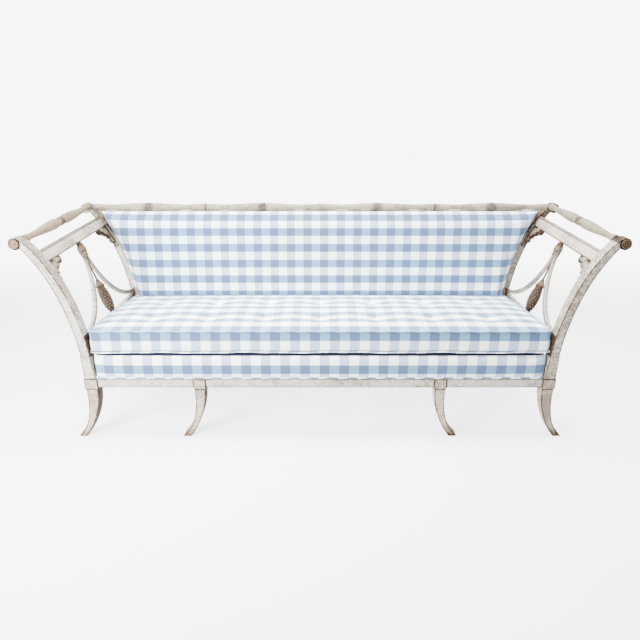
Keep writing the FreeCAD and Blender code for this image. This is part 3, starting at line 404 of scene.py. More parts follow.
def finish_piece(name, bm, material, body="frame", flat_below=None):
    """The bmesh as an object that rides on a body. Edges sharper than flat_below stay crisp."""
    mesh = bpy.data.meshes.new(name)
    bm.to_mesh(mesh)
    bm.free()
    mesh.shade_smooth()
    if flat_below:
        mesh.set_sharp_from_angle(angle=math.radians(flat_below))
    made = bpy.data.objects.new(name, mesh)
    bpy.context.scene.collection.objects.link(made)
    mesh.materials.append(material)
    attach(made, body)
    return made


def node_bmesh(node):
    """A copy of a node's mesh with its faces joined."""
    bm = bmesh.new()
    bm.from_mesh(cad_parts[node].data)
    bmesh.ops.remove_doubles(bm, verts=bm.verts[:], dist=2e-5)
    bmesh.ops.dissolve_limit(bm, angle_limit=math.radians(1.0), verts=bm.verts[:], edges=bm.edges[:])
    return bm


def worn_piece(node, material, rubbed=None, joint=None):
    """A rigid node with its edges rounded and marked for wear.

    rubbed gives a face's own wear, and on some posts and legs painted shade, and joint is the height of a
    scribed joint line."""
    bm = node_bmesh(node)
    wear_and_shade_mark = bm.faces.layers.float.new("edge")
    if rubbed:
        for face in bm.faces:
            face[wear_and_shade_mark] = rubbed(face.calc_center_median(), face.normal)
    flat = [f for f in bm.faces if abs(f.normal.y) > 0.9 and f.calc_area() > 0.0015]
    for face in bmesh.ops.inset_individual(bm, faces=flat, thickness=WORN_BORDER)["faces"]:
        face[wear_and_shade_mark] = max(face[wear_and_shade_mark], 0.92 if face.calc_center_median().x > 0.05 else 0.86)
    edges = [e for e in bm.edges if e.is_manifold and e.calc_face_angle() > math.radians(SHARP)]
    made = bmesh.ops.bevel(bm, geom=edges, offset=settings()[1].edge, offset_type="OFFSET", affect="EDGES",
                           segments=2, profile=0.5, material=-1, clamp_overlap=True)
    for face in made["faces"]:
        face[wear_and_shade_mark] = 1.0
    if joint:
        for z in (joint, joint + JOINT_LINE):
            bmesh.ops.bisect_plane(bm, geom=bm.verts[:] + bm.edges[:] + bm.faces[:], dist=1e-6,
                                   plane_co=(0, 0, z), plane_no=(0, 0, 1))
        for face in bm.faces:
            if joint < face.calc_center_median().z < joint + JOINT_LINE:
                face[wear_and_shade_mark] = 1.1
    piece = finish_piece("worn_" + node, bm, material, flat_below=SHARP)
    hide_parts(node)


def on_both_sides(name, shape, material, *nodes):
    """A piece shaped on the right and its mirror image. Node names take the side in braces."""
    for side in SIDES:
        bm = bmesh.new()
        bm.verts.layers.float.new("deep")
        bm.verts.layers.float.new("edge")
        shape(bm)
        if side == "left":
            bmesh.ops.scale(bm, vec=(-1, 1, 1), verts=bm.verts[:])
        bmesh.ops.recalc_face_normals(bm, faces=bm.faces[:])
        finish = material[side] if isinstance(material, dict) else material
        piece = finish_piece(f"{side}_{name}", bm, finish, flat_below=50.0)
        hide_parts(*(node.format(side) for node in nodes))


def turned(bm, outline, start, axis, steps=28):
    """Spins an outline of (distance, radius, darkening by dirt and painted shade) about an axis."""
    side = axis.orthogonal().normalized()
    layer = bm.verts.layers.float["deep"]
    row = []
    for distance, radius, grime_and_shade in outline:
        place = start + axis * distance + side * radius
        if row:
            vert = bmesh.ops.extrude_vert_indiv(bm, verts=[row[-1]])["verts"][0]
            vert.co = place
        else:
            vert = bmesh.ops.create_vert(bm, co=place)["vert"][0]
        vert[layer] = grime_and_shade
        row.append(vert)
    edges = list({e for v in row for e in v.link_edges})
    bmesh.ops.spin(bm, geom=row + edges, cent=start, axis=axis, angle=math.tau, steps=steps, use_merge=True)
    bmesh.ops.remove_doubles(bm, verts=bm.verts[:], dist=1e-6)


def eased(start, end, steps=6):
    """Outline points between two of (distance, radius), level at both ends."""
    points = []
    for i in range(1, steps):
        share = i / steps
        blend = share * share * (3 - 2 * share)
        points.append((start[0] + (end[0] - start[0]) * share, start[1] + (end[1] - start[1]) * blend, 0.0))
    return points


def bead(middle, radius, width, height, grime_and_shade=0.0):
    """Outline of a turned ring with a darkened quirk on each side: dirt and painted shade."""
    half = width / 2
    points = [(middle - half - 0.0008, radius, 0.3), (middle - half, radius - 0.0012, 1.0)]
    for angle in (20, 60, 90, 120, 160):
        turn = math.radians(angle)
        points.append((middle - half * math.cos(turn), radius + height * math.sin(turn), grime_and_shade))
    return points + [(middle + half, radius - 0.0012, 1.0), (middle + half + 0.0008, radius, 0.3)]


def round_arm(share):
    """Outward from the arm's middle line, at a share of a turn."""
    turn = math.tau * share
    return ARM_ACROSS * math.cos(turn) + ARM_NORMAL * math.sin(turn)


def placed(centre, across, upward, wide=1.0, high=1.0):
    """A place whose X runs across and Y upward, scaled."""
    forward = across.cross(upward)
    rows = [(across[i] * wide, upward[i] * high, forward[i], centre[i]) for i in range(3)]
    return Matrix(rows + [(0, 0, 0, 1)])


def swept(bm, places, segments=8, closed=False):
    """A round section carried through places. It gives back its rings, from which a caller can lay the length
    along it into the cloth map.
    """
    made = bmesh.ops.create_circle(bm, cap_ends=False, segments=segments, radius=1.0)["verts"]
    bmesh.ops.transform(bm, matrix=places[0], verts=made)
    ring = list({e for v in made for e in v.link_edges})
    first = ring
    rings = [made]
    for here, there in zip(places, places[1:]):
        grown = bmesh.ops.extrude_edge_only(bm, edges=ring)["geom"]
        verts = [g for g in grown if isinstance(g, bmesh.types.BMVert)]
        ring = [g for g in grown if isinstance(g, bmesh.types.BMEdge)]
        bmesh.ops.transform(bm, matrix=there @ here.inverted(), verts=verts)
        rings.append(verts)
    if closed:
        bmesh.ops.bridge_loops(bm, edges=first + ring)
    else:
        bmesh.ops.contextual_create(bm, geom=first)
        bmesh.ops.contextual_create(bm, geom=ring)
    return rings


def map_cloth(bm, place, name="cloth"):
    """Lays the faces on the cloth: place gives a face's vertex its spot."""
    layer = bm.loops.layers.uv.new(name)
    for face in bm.faces:
        for loop in face.loops:
            loop[layer].uv = place(face, loop.vert)


def piping(name, path, radius, material, body, closed=True):
    """A piped seam along a path."""
    bm = bmesh.new()
    places = []
    count = len(path)
    for i, point in enumerate(path):
        after = path[(i + 1) % count] if closed or i < count - 1 else point
        before = path[i - 1] if closed or i else point
        along = (after - before).normalized()
        across = along.cross(Vector((0, 0, 1))).normalized()
        places.append(placed(point, across, across.cross(along), radius, radius))
    rings = swept(bm, places, 8, closed)
    length = {}
    distance = 0.0
    for i, ring in enumerate(rings):
        if i:
            distance += (path[i] - path[i - 1]).length
        for vert in ring:
            length[vert] = distance
    map_cloth(bm, lambda face, vert: (length[vert], 0.5 * radius))
    bmesh.ops.recalc_face_normals(bm, faces=bm.faces[:])
    finish_piece(name, bm, material, body)


def leaf(bm, place, length, width, curl, thick, tip=0.98):
    """A carved leaf: it grows along X, curls up along Z and has a grooved rib and a scalloped edge."""
    verts = bmesh.ops.create_grid(bm, x_segments=9, y_segments=4, size=1.0)["verts"]
    recess_grime_and_shade, rubbed = bm.verts.layers.float["deep"], bm.verts.layers.float["edge"]
    for vert in verts:
        along = (vert.co.x + 1) / 2
        across = vert.co.y
        half = width / 2 * math.sin(math.pi * (0.12 + (tip - 0.12) * along ** 0.9)) ** 0.7
        half *= 1 + 0.13 * math.sin(along * 19)
        lift = curl * along ** 2.2 + width * (0.16 * (1 - across * across) - 0.14 * (abs(across) < 0.1))
        # darker at the root and along the rib: dirt and painted shade
        vert[recess_grime_and_shade] = max(0.75 * (abs(across) < 0.1) * (1 - along), 1 - along / 0.35, 0.0)
        vert[rubbed] = max(0.0, along - 0.55) * 1.3
        vert.co = (length * along, across * half, lift)
    bmesh.ops.transform(bm, matrix=place, verts=verts)
    faces = list({f for v in verts for f in v.link_faces})
    bmesh.ops.solidify(bm, geom=faces, thickness=thick)


def cut_box(low, high, counts):
    """A box cut into even cells along the three axes."""
    bm = bmesh.new()
    bmesh.ops.create_cube(bm, size=1.0)
    size = [b - a for a, b in zip(low, high)]
    bmesh.ops.scale(bm, vec=size, verts=bm.verts[:])
    bmesh.ops.translate(bm, vec=[(a + b) / 2 for a, b in zip(low, high)], verts=bm.verts[:])
    for axis, count in enumerate(counts):
        normal = Vector((axis == 0, axis == 1, axis == 2))
        for i in range(1, count):
            place = Vector(low) + normal * (size[axis] * i / count)
            geometry = bm.verts[:] + bm.edges[:] + bm.faces[:]
            bmesh.ops.bisect_plane(bm, geom=geometry, dist=1e-6, plane_co=place, plane_no=normal)
    bm.normal_update()
    bm.verts.index_update()
    return bm


def round_corners(bm, half, front, rear, radius):
    """Rounds a box's upright corners as a sewn cover is."""
    for vert in bm.verts:
        x, y = vert.co.x, vert.co.y
        over = abs(x) - (half - radius)
        past = (front + radius - y) if y < (front + rear) / 2 else (y - rear + radius)
        if over > 0 and past > 0:
            pull = 1 - max(over, past) / math.hypot(over, past)
            vert.co.x -= math.copysign(over * pull, x)
            vert.co.y += past * pull * (1 if y < (front + rear) / 2 else -1)


def puff(piece, weights, pressure, cap):
    """Fills a cloth cover with a little pressure.

    weights hold points where they are, and no point moves by more than the cap."""
    group = piece.vertex_groups.new(name="held")
    for index, weight in weights.items():
        group.add([index], weight, "REPLACE")
    scene = bpy.context.scene
    mesh = piece.data
    rest = np.empty(len(mesh.vertices) * 3, dtype=np.float32)
    mesh.vertices.foreach_get("co", rest)
    cloth = piece.modifiers.new("Stuffing", "CLOTH")
    cloth.settings.quality = 6
    cloth.settings.mass = 0.3
    cloth.settings.tension_stiffness = 25.0
    cloth.settings.compression_stiffness = 25.0
    cloth.settings.shear_stiffness = 10.0
    cloth.settings.bending_stiffness = 0.5
    cloth.settings.use_pressure = True
    cloth.settings.uniform_pressure_force = pressure
    cloth.settings.vertex_group_mass = "held"
    cloth.settings.effector_weights.gravity = 0.0
    cloth.collision_settings.use_collision = False
    for number in range(1, 21):
        scene.frame_set(number)
    shaped = piece.evaluated_get(bpy.context.evaluated_depsgraph_get()).data
    moved = np.empty_like(rest)
    shaped.vertices.foreach_get("co", moved)
    piece.modifiers.remove(cloth)
    scene.frame_set(1)
    rest = rest.reshape(-1, 3)
    shift = moved.reshape(-1, 3) - rest
    length = np.linalg.norm(shift, axis=1, keepdims=True)
    shift *= np.minimum(1.0, cap / np.maximum(length, 1e-9))
    mesh.vertices.foreach_set("co", (rest + shift).ravel())
    mesh.update()


def subdivide(piece):
    made = piece.modifiers.new("Smooth", "SUBSURF")
    made.levels = 1
    made.render_levels = 1


# Operators

def rubbed_leg(centre, normal):
    """Wear and painted shade on a leg: painted shade on the inner side of the left legs, drawn as dark bare
    wood, and a little wear on all of the right legs.
    """
    # painted shade: the inner side of the left legs is taken down to dark bare wood
    inward = 1.3 if centre.x < 0 and normal.x > 0.2 else 0.0
    return max(inward, 0.32 if centre.x > 0 else 0.10)


def rubbed_post(centre, normal):
    """Wear and painted shade on a post: wear on its scroll and on the side that faces the seat, more on the
    right rear post; painted shade on the front faces of the right posts; painted shadow on the rear posts
    beside the back and on the front posts beside the cushion.
    """
    right = centre.x > 0
    scroll = (1.0 if right else 0.60) if abs(centre.x) > 1.052 else 0.0
    # painted shade: the front faces of the right posts are darker, as the light falls off to the right
    painted_shade_front = 0.34 if right and abs(normal.y) > 0.9 else 0.0
    inward = 0.0
    if normal.x * centre.x < -0.5 * abs(centre.x):
        inward = 0.88 if right and centre.y > 0 else 0.40
        # painted shadow: the rear posts beside the back and the front posts beside the cushion go to dark
        # bare wood
        if centre.y > 0 and DARK_POST[0] < centre.z < DARK_POST[1]:
            inward = 1.6
        elif centre.y < 0 and DECK_HIGH.z - 0.02 < centre.z < DECK_HIGH.z + 0.074:
            inward = 1.6
    return max(scroll, painted_shade_front, inward)


class SOFA_OT_show_wood(bpy.types.Operator):
    """Round and wear the sawn pieces of the frame"""

    bl_idname = "sofa.show_wood"
    bl_label = "Show Wood"

    def execute(self, context):
        plain = paint_material("worn_paint", 0.2)
        tan = paint_material("leg_paint", 0.2, (0.41, 0.36, 0.28))
        for end in ENDS:
            worn_piece(end + "_seat_rail", plain)
            for side in SIDES:
                worn_piece(f"{end}_{side}_leg", tan, rubbed_leg)
                worn_piece(f"{end}_{side}_middle_leg", tan, rubbed_leg)
                worn_piece(f"{end}_{side}_post", plain, rubbed_post, joint=JOINT_HEIGHT)
        for side in SIDES:
            worn_piece(f"{side}_side_rail", plain)
            worn_piece(f"{side}_lower_arm_bar", plain, lambda centre, normal: 0.4)
        return {"FINISHED"}


class SOFA_OT_scrolls(bpy.types.Operator):
    """Carve the volutes on the ends of the posts"""

    bl_idname = "sofa.scrolls"
    bl_label = "Scroll Volutes"

    def execute(self, context):
        carved = {"left": paint_material("rubbed_volute", 0.9, (0.165, 0.095, 0.058), (0.115, 0.06, 0.034)),
                  "right": paint_material("dark_volute", 0.9, (0.11, 0.078, 0.05), (0.075, 0.05, 0.03))}

        def shape(bm):
            for end, outward in zip(ENDS, (-1, 1)):
                low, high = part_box(f"{end}_right_post")
                face = low.y if outward < 0 else high.y
                centre = Vector((high.x - SCROLL_RADIUS, face, high.z - SCROLL_RADIUS))
                places = []
                for i in range(49):
                    share = i / 48
                    turn = math.radians(-40 + 800 * share)
                    radial = Vector((math.cos(turn), 0, math.sin(turn)))
                    reach = 0.0172 * (1 - share) ** 0.85 + 0.0016
                    thick = 0.0026 - 0.0008 * share
                    places.append(placed(centre + radial * reach, radial, Vector((0, 1, 0)), thick, thick))
                swept(bm, places, 6)
                eye = bmesh.ops.create_uvsphere(bm, u_segments=10, v_segments=6, radius=0.0034)["verts"]
                bmesh.ops.translate(bm, vec=centre, verts=eye)

        on_both_sides("scroll_volutes", shape, carved)
        return {"FINISHED"}


class SOFA_OT_turnings(bpy.types.Operator):
    """Turn the arm rails and the crest"""

    bl_idname = "sofa.turnings"
    bl_label = "Turnings"

    def execute(self, context):
        pale = {"left": paint_material("turned_paint", 0.3, (0.225, 0.172, 0.106)),
                "right": paint_material("turned_pale_paint", 0.3, (0.22, 0.198, 0.135))}
        start = Vector((ARM_RAIL_X, ARM_FRONT, ARM_RAIL_Z))
        run = Vector((ARM_RAIL_X, -ARM_FRONT, ARM_RAIL_Z + ARM_RISE)) - start
        span = run.length

        def arm(bm):
            half = span / 2
            quarter = [(0.0, 0.0, 0.5), (0.0, 0.0150, 0.6), (0.010, 0.0158, 0.0), (0.022, 0.0148, 0.0),
                       (0.029, 0.0122, 0.5), (0.034, 0.0112, 0.2)]
            quarter += eased((0.034, 0.0112), (half - 0.062, 0.0206), 14)
            quarter += [(half - 0.062, 0.0206, 0.0), (half - 0.056, 0.0206, 0.0)]
            quarter += eased((half - 0.056, 0.0206), (half - 0.015, 0.0158), 7)
            quarter += [(half - 0.015, 0.0158, 0.2)] + bead(half - 0.0080, 0.0160, 0.0095, 0.0028, 0.45)
            mirrored = [(span - d, r, g) for d, r, g in reversed(quarter)]
            middle = [(half - 0.0024, 0.0115, 1.0), (half, 0.0100, 1.0), (half + 0.0024, 0.0115, 1.0)]
            turned(bm, quarter + middle + mirrored, start, run / span)

        on_both_sides("turned_arm_rail", arm, pale, "{}_arm_rail")

        pitch = CREST_REACH / 2
        centre = Vector((0.0, CREST_Y, CREST_Z - 0.0015))

        def crest(bm):
            waist, thin, belly = 0.0122, 0.0155, 0.0190
            outline = [(0.0, 0.0, 0.5), (0.0, thin, 0.8)] + bead(0.006, thin, 0.007, 0.0018)
            place = 0.011
            for i in range(2):
                middle, after = pitch * (i + 0.5), pitch * (i + 1)
                hollow = place + (middle - place) * 0.33
                outline += eased((place, thin), (hollow, waist), 5) + [(hollow, waist, 0.0)]
                outline += eased((hollow, waist), (middle - 0.014, belly), 8)
                outline += [(middle - 0.0125, belly - 0.001, 0.9)]
                for turn in (-1, 1):
                    outline += bead(middle + turn * 0.006, belly - 0.0012, 0.0095, 0.0034, 0.9)
                outline += [(middle + 0.0125, belly - 0.001, 0.9)]
                hollow = after - (after - middle) * 0.33
                outline += eased((middle + 0.014, belly), (hollow, waist), 8) + [(hollow, waist, 0.0)]
                outline += eased((hollow, waist), (after - 0.006, thin), 5)
                outline += bead(after, thin, 0.007, 0.0022, 0.9)
                place = after + 0.006
            outline += [(pitch * 2 + 0.012, thin, 0.0), (pitch * 2 + 0.012, 0.0, 0.0)]
            turned(bm, outline, centre, Vector((1, 0, 0)))

        tan = paint_material("crest_paint", 0.3, (0.275, 0.247, 0.196))
        on_both_sides("turned_crest", crest, tan, "{}_crest_rail")
        return {"FINISHED"}


class SOFA_OT_arm_boards(bpy.types.Operator):
    """Plane the arm boards and run their beads"""

    bl_idname = "sofa.arm_boards"
    bl_label = "Arm Boards"

    def execute(self, context):
        plain = paint_material("board_paint", 0.15, (0.50, 0.435, 0.355))
        for side in SIDES:
            worn_piece(f"{side}_arm_board", plain)

        def shape(bm):
            run = Vector((0, -2 * ARM_FRONT, ARM_RISE))
            along = Vector((math.sin(BOARD_HEADING), 0, math.cos(BOARD_HEADING)))
            inward = Vector((-math.cos(BOARD_HEADING), 0, math.sin(BOARD_HEADING)))
            for height, thick, proud in (
                    (0.0172, 0.0024, 0.0004), (0.0238, 0.0018, -0.0002), (-0.0225, 0.0016, 0.0)):
                for face in (1, -1):
                    start = BOARD_MIDDLE + along * height + inward * (face * (0.009 + proud))
                    ends = [placed(point, along, inward, thick, thick) for point in (start, start + run)]
                    swept(bm, ends, 8)

        worn = paint_material("worn_bead", 0.95, (0.17, 0.12, 0.08), (0.11, 0.07, 0.042))
        on_both_sides("arm_board_beads", shape, worn)
        return {"FINISHED"}


class SOFA_OT_swags(bpy.types.Operator):
    """Bend the two-stranded swag rods"""

    bl_idname = "sofa.swags"
    bl_label = "Swag Rods"

    def execute(self, context):
        pale = paint_material("swag_paint", 0.35, (0.37, 0.33, 0.285))
        centre = ARM_FOOT + ARM_UP * ROD_CENTRE
        for end, way in zip(ENDS, (-1, 1)):
            middle = centre + Vector((0, -way * ARM_FRONT, 0))

            def shape(bm):
                for strand in (-1, 1):
                    places = []
                    for i in range(31):
                        turn = math.radians(-4 + 96 * i / 30)
                        nearer = 0.0085 * max(0.0, 1 - i / 14) ** 2
                        slim = 1 - 0.3 * max(0.0, 1 - i / 12)
                        outward = Vector((0, -way * math.cos(turn), 0)) - ARM_UP * math.sin(turn)
                        place = middle + outward * (ROD_RADIUS + strand * 0.0044 * slim)
                        place += Vector((0, -way * nearer, 0))
                        places.append(placed(place, outward, ARM_NORMAL, 0.0054 * slim, 0.0084 * slim))
                    swept(bm, places, 10)
                recess_grime_and_shade = bm.verts.layers.float["deep"]
                for vert in bm.verts:
                    radial = vert.co - middle
                    reach = math.hypot(radial.y, radial.dot(ARM_UP))
                    # darker where the two strands meet: dirt and painted shade
                    vert[recess_grime_and_shade] = max(0.0, 1 - abs(reach - ROD_RADIUS) / 0.0052)

            on_both_sides(end + "_swag_rod", shape, pale, "{}_" + end + "_swag")
        return {"FINISHED"}


class SOFA_OT_knots(bpy.types.Operator):
    """Carve the leaf knots"""

    bl_idname = "sofa.knots"
    bl_label = "Leaf Knots"

    def execute(self, context):
        def shape(bm):
            root = KNOT_TOP - ARM_UP * 0.058
            # the core between the leaves is dark: dirt and painted shade
            outline = [(-0.004, 0.0, 1.0), (-0.004, 0.0105, 1.0), (0.004, 0.0120, 0.8), (0.02, 0.0125, 1.0),
                       (0.036, 0.0150, 1.0), (0.050, 0.0130, 1.0), (0.058, 0.0110, 1.0), (0.058, 0.0, 1.0)]
            turned(bm, outline, root, ARM_UP, 20)
            for count, foot, length, width, radius, curl, lean, phase in (
                    (7, 0.001, 0.034, 0.0160, 0.0122, 0.0105, 0.12, 0.0),
                    (7, 0.018, 0.036, 0.0180, 0.0146, 0.0090, 0.06, 0.5)):
                for i in range(count):
                    outward = round_arm((i + phase) / count)
                    grow = (ARM_UP + outward * lean).normalized()
                    side = outward.cross(grow)
                    place = placed(root + ARM_UP * foot + outward * radius, grow, -side)
                    leaf(bm, place, length, width, curl, 0.0022)
            collar = []
            for i in range(24):
                outward = round_arm(i / 24)
                collar.append(placed(root + outward * 0.0125, outward, ARM_UP, 0.0028, 0.0034))
            swept(bm, collar, 6, True)

        worn = paint_material("worn_knot", 0.9, (0.24, 0.18, 0.13), (0.19, 0.115, 0.07))
        on_both_sides("leaf_knot", shape, worn, "{}_arm_knot")
        return {"FINISHED"}


class SOFA_OT_cones(bpy.types.Operator):
    """Carve the hanging cones"""

    bl_idname = "sofa.cones"
    bl_label = "Hanging Cones"

    def execute(self, context):
        def girth(share):
            return 0.0045 + 0.0175 * math.sin(math.pi * min(1.0, max(0.0, share)) ** 0.85) ** 0.8

        def shape(bm):
            foot = ARM_FOOT + ARM_UP * 0.001
            # the core between the scales is dark: dirt and painted shade
            outline = [(0.0, 0.0, 1.0)]
            for i in range(17):
                outline.append((CONE_LENGTH * i / 16, girth(i / 16), 1.0))
            outline += [(CONE_LENGTH + 0.004, 0.0062, 0.6), (CONE_LENGTH + 0.010, 0.0042, 0.3)]
            outline += [(ROD_CENTRE - 0.014, 0.0040, 0.2), (ROD_CENTRE - 0.014, 0.0, 0.2)]
            turned(bm, outline, foot, ARM_UP, 18)
            for row in range(CONE_ROWS):
                share = (row + 0.6) / (CONE_ROWS + 0.4)
                reach = girth(share)
                for i in range(CONE_SCALES):
                    outward = round_arm((i + 0.5 * (row % 2)) / CONE_SCALES)
                    tip = bmesh.ops.create_uvsphere(bm, u_segments=6, v_segments=4, radius=1.0)["verts"]
                    wide = math.pi * reach / CONE_SCALES * 0.66
                    grow = (ARM_UP * -1 + outward * 0.25).normalized()
                    side = outward.cross(grow).normalized()
                    centre = foot + ARM_UP * (CONE_LENGTH * share) + outward * (reach - 0.0004)
                    place = placed(centre, side, grow, wide, 0.0048)
                    place = place @ Matrix.Diagonal((1, 1, 0.0026, 1))
                    bmesh.ops.transform(bm, matrix=place, verts=tip)

        def cap(bm):
            for i in range(7):
                outward = round_arm(i / 7)
                grow = (ARM_UP * -1 + outward * 0.42).normalized()
                root = ARM_FOOT + ARM_UP * (CONE_LENGTH + 0.007) + outward * 0.004
                place = placed(root, grow, grow.cross(outward) * -1)
                leaf(bm, place, 0.036, 0.0150, 0.0015, 0.0018)

        dark = paint_material("worn_cone", 1.0, (0.096, 0.069, 0.048), (0.064, 0.043, 0.028))
        on_both_sides("carved_cone", shape, dark, "{}_pine_cone")
        tan = paint_material("cone_leaves", 0.9, (0.17, 0.125, 0.088), (0.11, 0.07, 0.045))
        on_both_sides("cone_cap", cap, tan)
        return {"FINISHED"}


class SOFA_OT_spandrels(bpy.types.Operator):
    """Carve the leaf brackets under the arm boards"""

    bl_idname = "sofa.spandrels"
    bl_label = "Leaf Brackets"

    def execute(self, context):
        # The plate behind the leaves is near black: dirt and painted shade between them and along the post.
        dark_ground_grime_and_shade = paint_material("bracket_ground_grime_and_shade", 1.0, (0.065, 0.043, 0.028), (0.050, 0.032, 0.020))
        leaves = paint_material("worn_leaves", 0.9, (0.34, 0.29, 0.23))
        for end, way in zip(ENDS, (1, -1)):
            for side in SIDES:
                worn_piece(f"{side}_{end}_spandrel", dark_ground_grime_and_shade, lambda centre, normal: 0.8)

            def shape(bm):
                down = Vector((-math.sin(BRACKET_HEADING), 0, -math.cos(BRACKET_HEADING)))
                along = Vector((0, way, 0))
                inward = Vector((-math.cos(BRACKET_HEADING), 0, math.sin(BRACKET_HEADING)))
                corner = BOARD_MIDDLE - Vector((math.sin(BOARD_HEADING), 0, math.cos(BOARD_HEADING))) * 0.026
                if way < 0:
                    corner = corner + Vector((0, -2 * ARM_FRONT, ARM_RISE))
                for face in (1, -1):
                    for angle, reach, root, width in (
                            (5, 0.088, 0.038, 0.019), (24, 0.066, 0.022, 0.020), (43, 0.056, 0.014, 0.020),
                            (61, 0.061, 0.018, 0.019), (76, 0.080, 0.030, 0.017), (88, 0.108, 0.056, 0.013)):
                        turn = math.radians(angle)
                        grow = along * math.cos(turn) + down * math.sin(turn)
                        foot = corner + grow * root + inward * (face * 0.0062)
                        place = placed(foot, grow, inward.cross(grow) * face)
                        leaf(bm, place, reach - root, width, 0.0040, 0.0062, 0.87)

            on_both_sides(end + "_bracket_leaves", shape, leaves)
        return {"FINISHED"}


class SOFA_OT_cushion(bpy.types.Operator):
    """Sew, stuff and tuft the loose seat cushion"""

    bl_idname = "sofa.cushion"
    bl_label = "Seat Cushion"

    def execute(self, context):
        cloth = settings()[0]
        half = CUSHION_HIGH.x - 0.001
        front = DECK_LOW.y + 0.0075
        rear = front + 0.494
        edge = CUSHION_EDGE
        bm = cut_box((-half, front, 0.0), (half, rear, edge), (112, 34, 6))

        def spot(face, vert):
            x, y, z = vert.co
            if abs(face.normal.z) > 0.7:
                return x, (y - front) * cloth.check / cloth.seat_row
            return x if abs(face.normal.y) > 0.7 else y - front, z - edge + cloth.check

        map_cloth(bm, spot)
        for face in bm.faces:
            # the top faces take the second cloth, lightened: a painted highlight
            face.material_index = int(face.normal.z > 0.7)
        rim = {0.0: [], edge: []}
        weights = {}
        tufts = [(cloth.tuft_pitch * i, front + (rear - front) * share)
                 for i in range(-3, 4) for share in (0.275, 0.71)]

        def tuft_gap(x, y):
            return min(math.hypot(x - a, y - b) for a, b in tufts)

        for vert in bm.verts:
            x, y, z = vert.co
            border = min(half - abs(x), y - front, rear - y) < SMALL
            near = tuft_gap(x, y)
            for level, loop in rim.items():
                if border and abs(z - level) < SMALL:
                    loop.append((perimeter(x, y, half, front, rear), vert.index))
            if z < SMALL and not border:
                weights[vert.index] = 1.0
            elif border and min(z, edge - z) < SMALL:
                weights[vert.index] = 0.8
            elif z > edge - SMALL and near < 0.010:
                weights[vert.index] = 1.0
        for vert in bm.verts:
            x, y, z = vert.co
            across = x / half
            along = 2 * (y - front) / (rear - front) - 1
            if z > edge - SMALL:
                vert.co.z -= (0.005 + 0.006 * across ** 2) * ((along + 1) / 2) ** 2
                vert.co.z += 0.012 * (1 - across ** 8) * (1 - along ** 4)
                vert.co.z -= cloth.tuft_sink * math.exp(-(tuft_gap(x, y) / 0.020) ** 1.4)
            swell = 0.004 * math.sin(math.pi * min(1.0, max(0.0, z / edge)))
            if abs(y - front) < SMALL:
                vert.co.y += 0.003 * (1 - across ** 2) - swell
            elif abs(y - rear) < SMALL:
                vert.co.y -= 0.003 * (1 - across ** 2) - swell
            if half - abs(x) < SMALL:
                vert.co.x += math.copysign(swell - 0.003 * (1 - along ** 2), x)
            if z < SMALL and (y - front) < SMALL:
                vert.co.z += -0.006 + 0.0012 * (1 + math.sin(x * 17.0) + 0.6 * math.sin(x * 41.0 + 1.0))
            if half - abs(x) < SMALL:
                vert.co.x += math.copysign(0.006 * (z / edge) - 0.004, x)
            vert.co.x -= math.copysign(0.020 * (along + 1) / 2 * abs(across) ** 10, x)
        round_corners(bm, half, front, rear, 0.014)
        made = finish_piece("checked_seat_cushion", bm, gingham_material("cushion_gingham", -cloth.check),
                            "cushion")
        # a paler copy of the cloth for the top: painted highlight
        made.data.materials.append(gingham_material("painted_highlight_gingham", -cloth.check, 0.33))
        puff(made, weights, 3.0, 0.014)
        rest = (Matrix.Translation((0, DECK_LOW.y, DECK_HIGH.z + 0.0005))
                @ Matrix.Rotation(-SEAT_RAKE, 4, "X") @ Matrix.Translation((0, -DECK_LOW.y, 0)))
        made.data.transform(rest)
        subdivide(made)
        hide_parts("seat_cushion")
        blue = piping_material("top_piping", cloth.warp, Vector(cloth.warp).lerp(Vector(cloth.weft), 0.6))
        # a thin dark cord under the front of the top piping: a painted shadow line
        seam = piping_material("top_shadow_cord", (0.16, 0.24, 0.36), (0.045, 0.08, 0.15))
        pale = piping_material("bottom_piping", cloth.white, cloth.warp)
        for name, level, material in (("top", edge, blue), ("bottom", 0.0, pale)):
            path = [made.data.vertices[i].co.copy() for place, i in sorted(rim[level])]
            lift = 0.0 if level else cloth.piping * 0.5
            for point in path:
                at_end = abs(point.x) > half - 0.02
                at_face = min(point.y - front, rear - point.y) < 0.02
                out = Vector((math.copysign(at_end, point.x),
                              math.copysign(at_face, point.y - (front + rear) / 2), 0))
                point += out.normalized() * 0.0012 + Vector((0, 0, lift))
            piping(f"cushion_{name}_piping", path, cloth.piping / 2, material, "cushion")
            if level:
                drop = Vector((0, -0.0022, -0.0036))
                lower = [point + drop for point in path if point.y < front + 0.03]
                lower.sort(key=lambda point: point.x)
                piping("cushion_shadow_cord", lower, 0.0011, seam, "cushion", closed=False)
        return {"FINISHED"}


def perimeter(x, y, half, front, rear):
    """How far round a box's border a point lies."""
    if y - front < SMALL:
        return x + half
    if half - x < SMALL:
        return 2 * half + y - front
    if rear - y < SMALL:
        return 2 * half + rear - front + half - x
    return 4 * half + rear - front + rear - y


def pad_slices():
    """The back pad's level slices: height, half width, front and rear."""
    points = np.array([v.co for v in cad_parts["back_pad"].data.vertices])
    rows = []
    for z in np.unique(points[:, 2].round(4)):
        here = points[abs(points[:, 2] - z) < 2e-4]
        if len(here) > 40:
            rows.append((z, here[:, 0].max(), here[:, 1].min(), here[:, 1].max()))
    return np.array(rows)


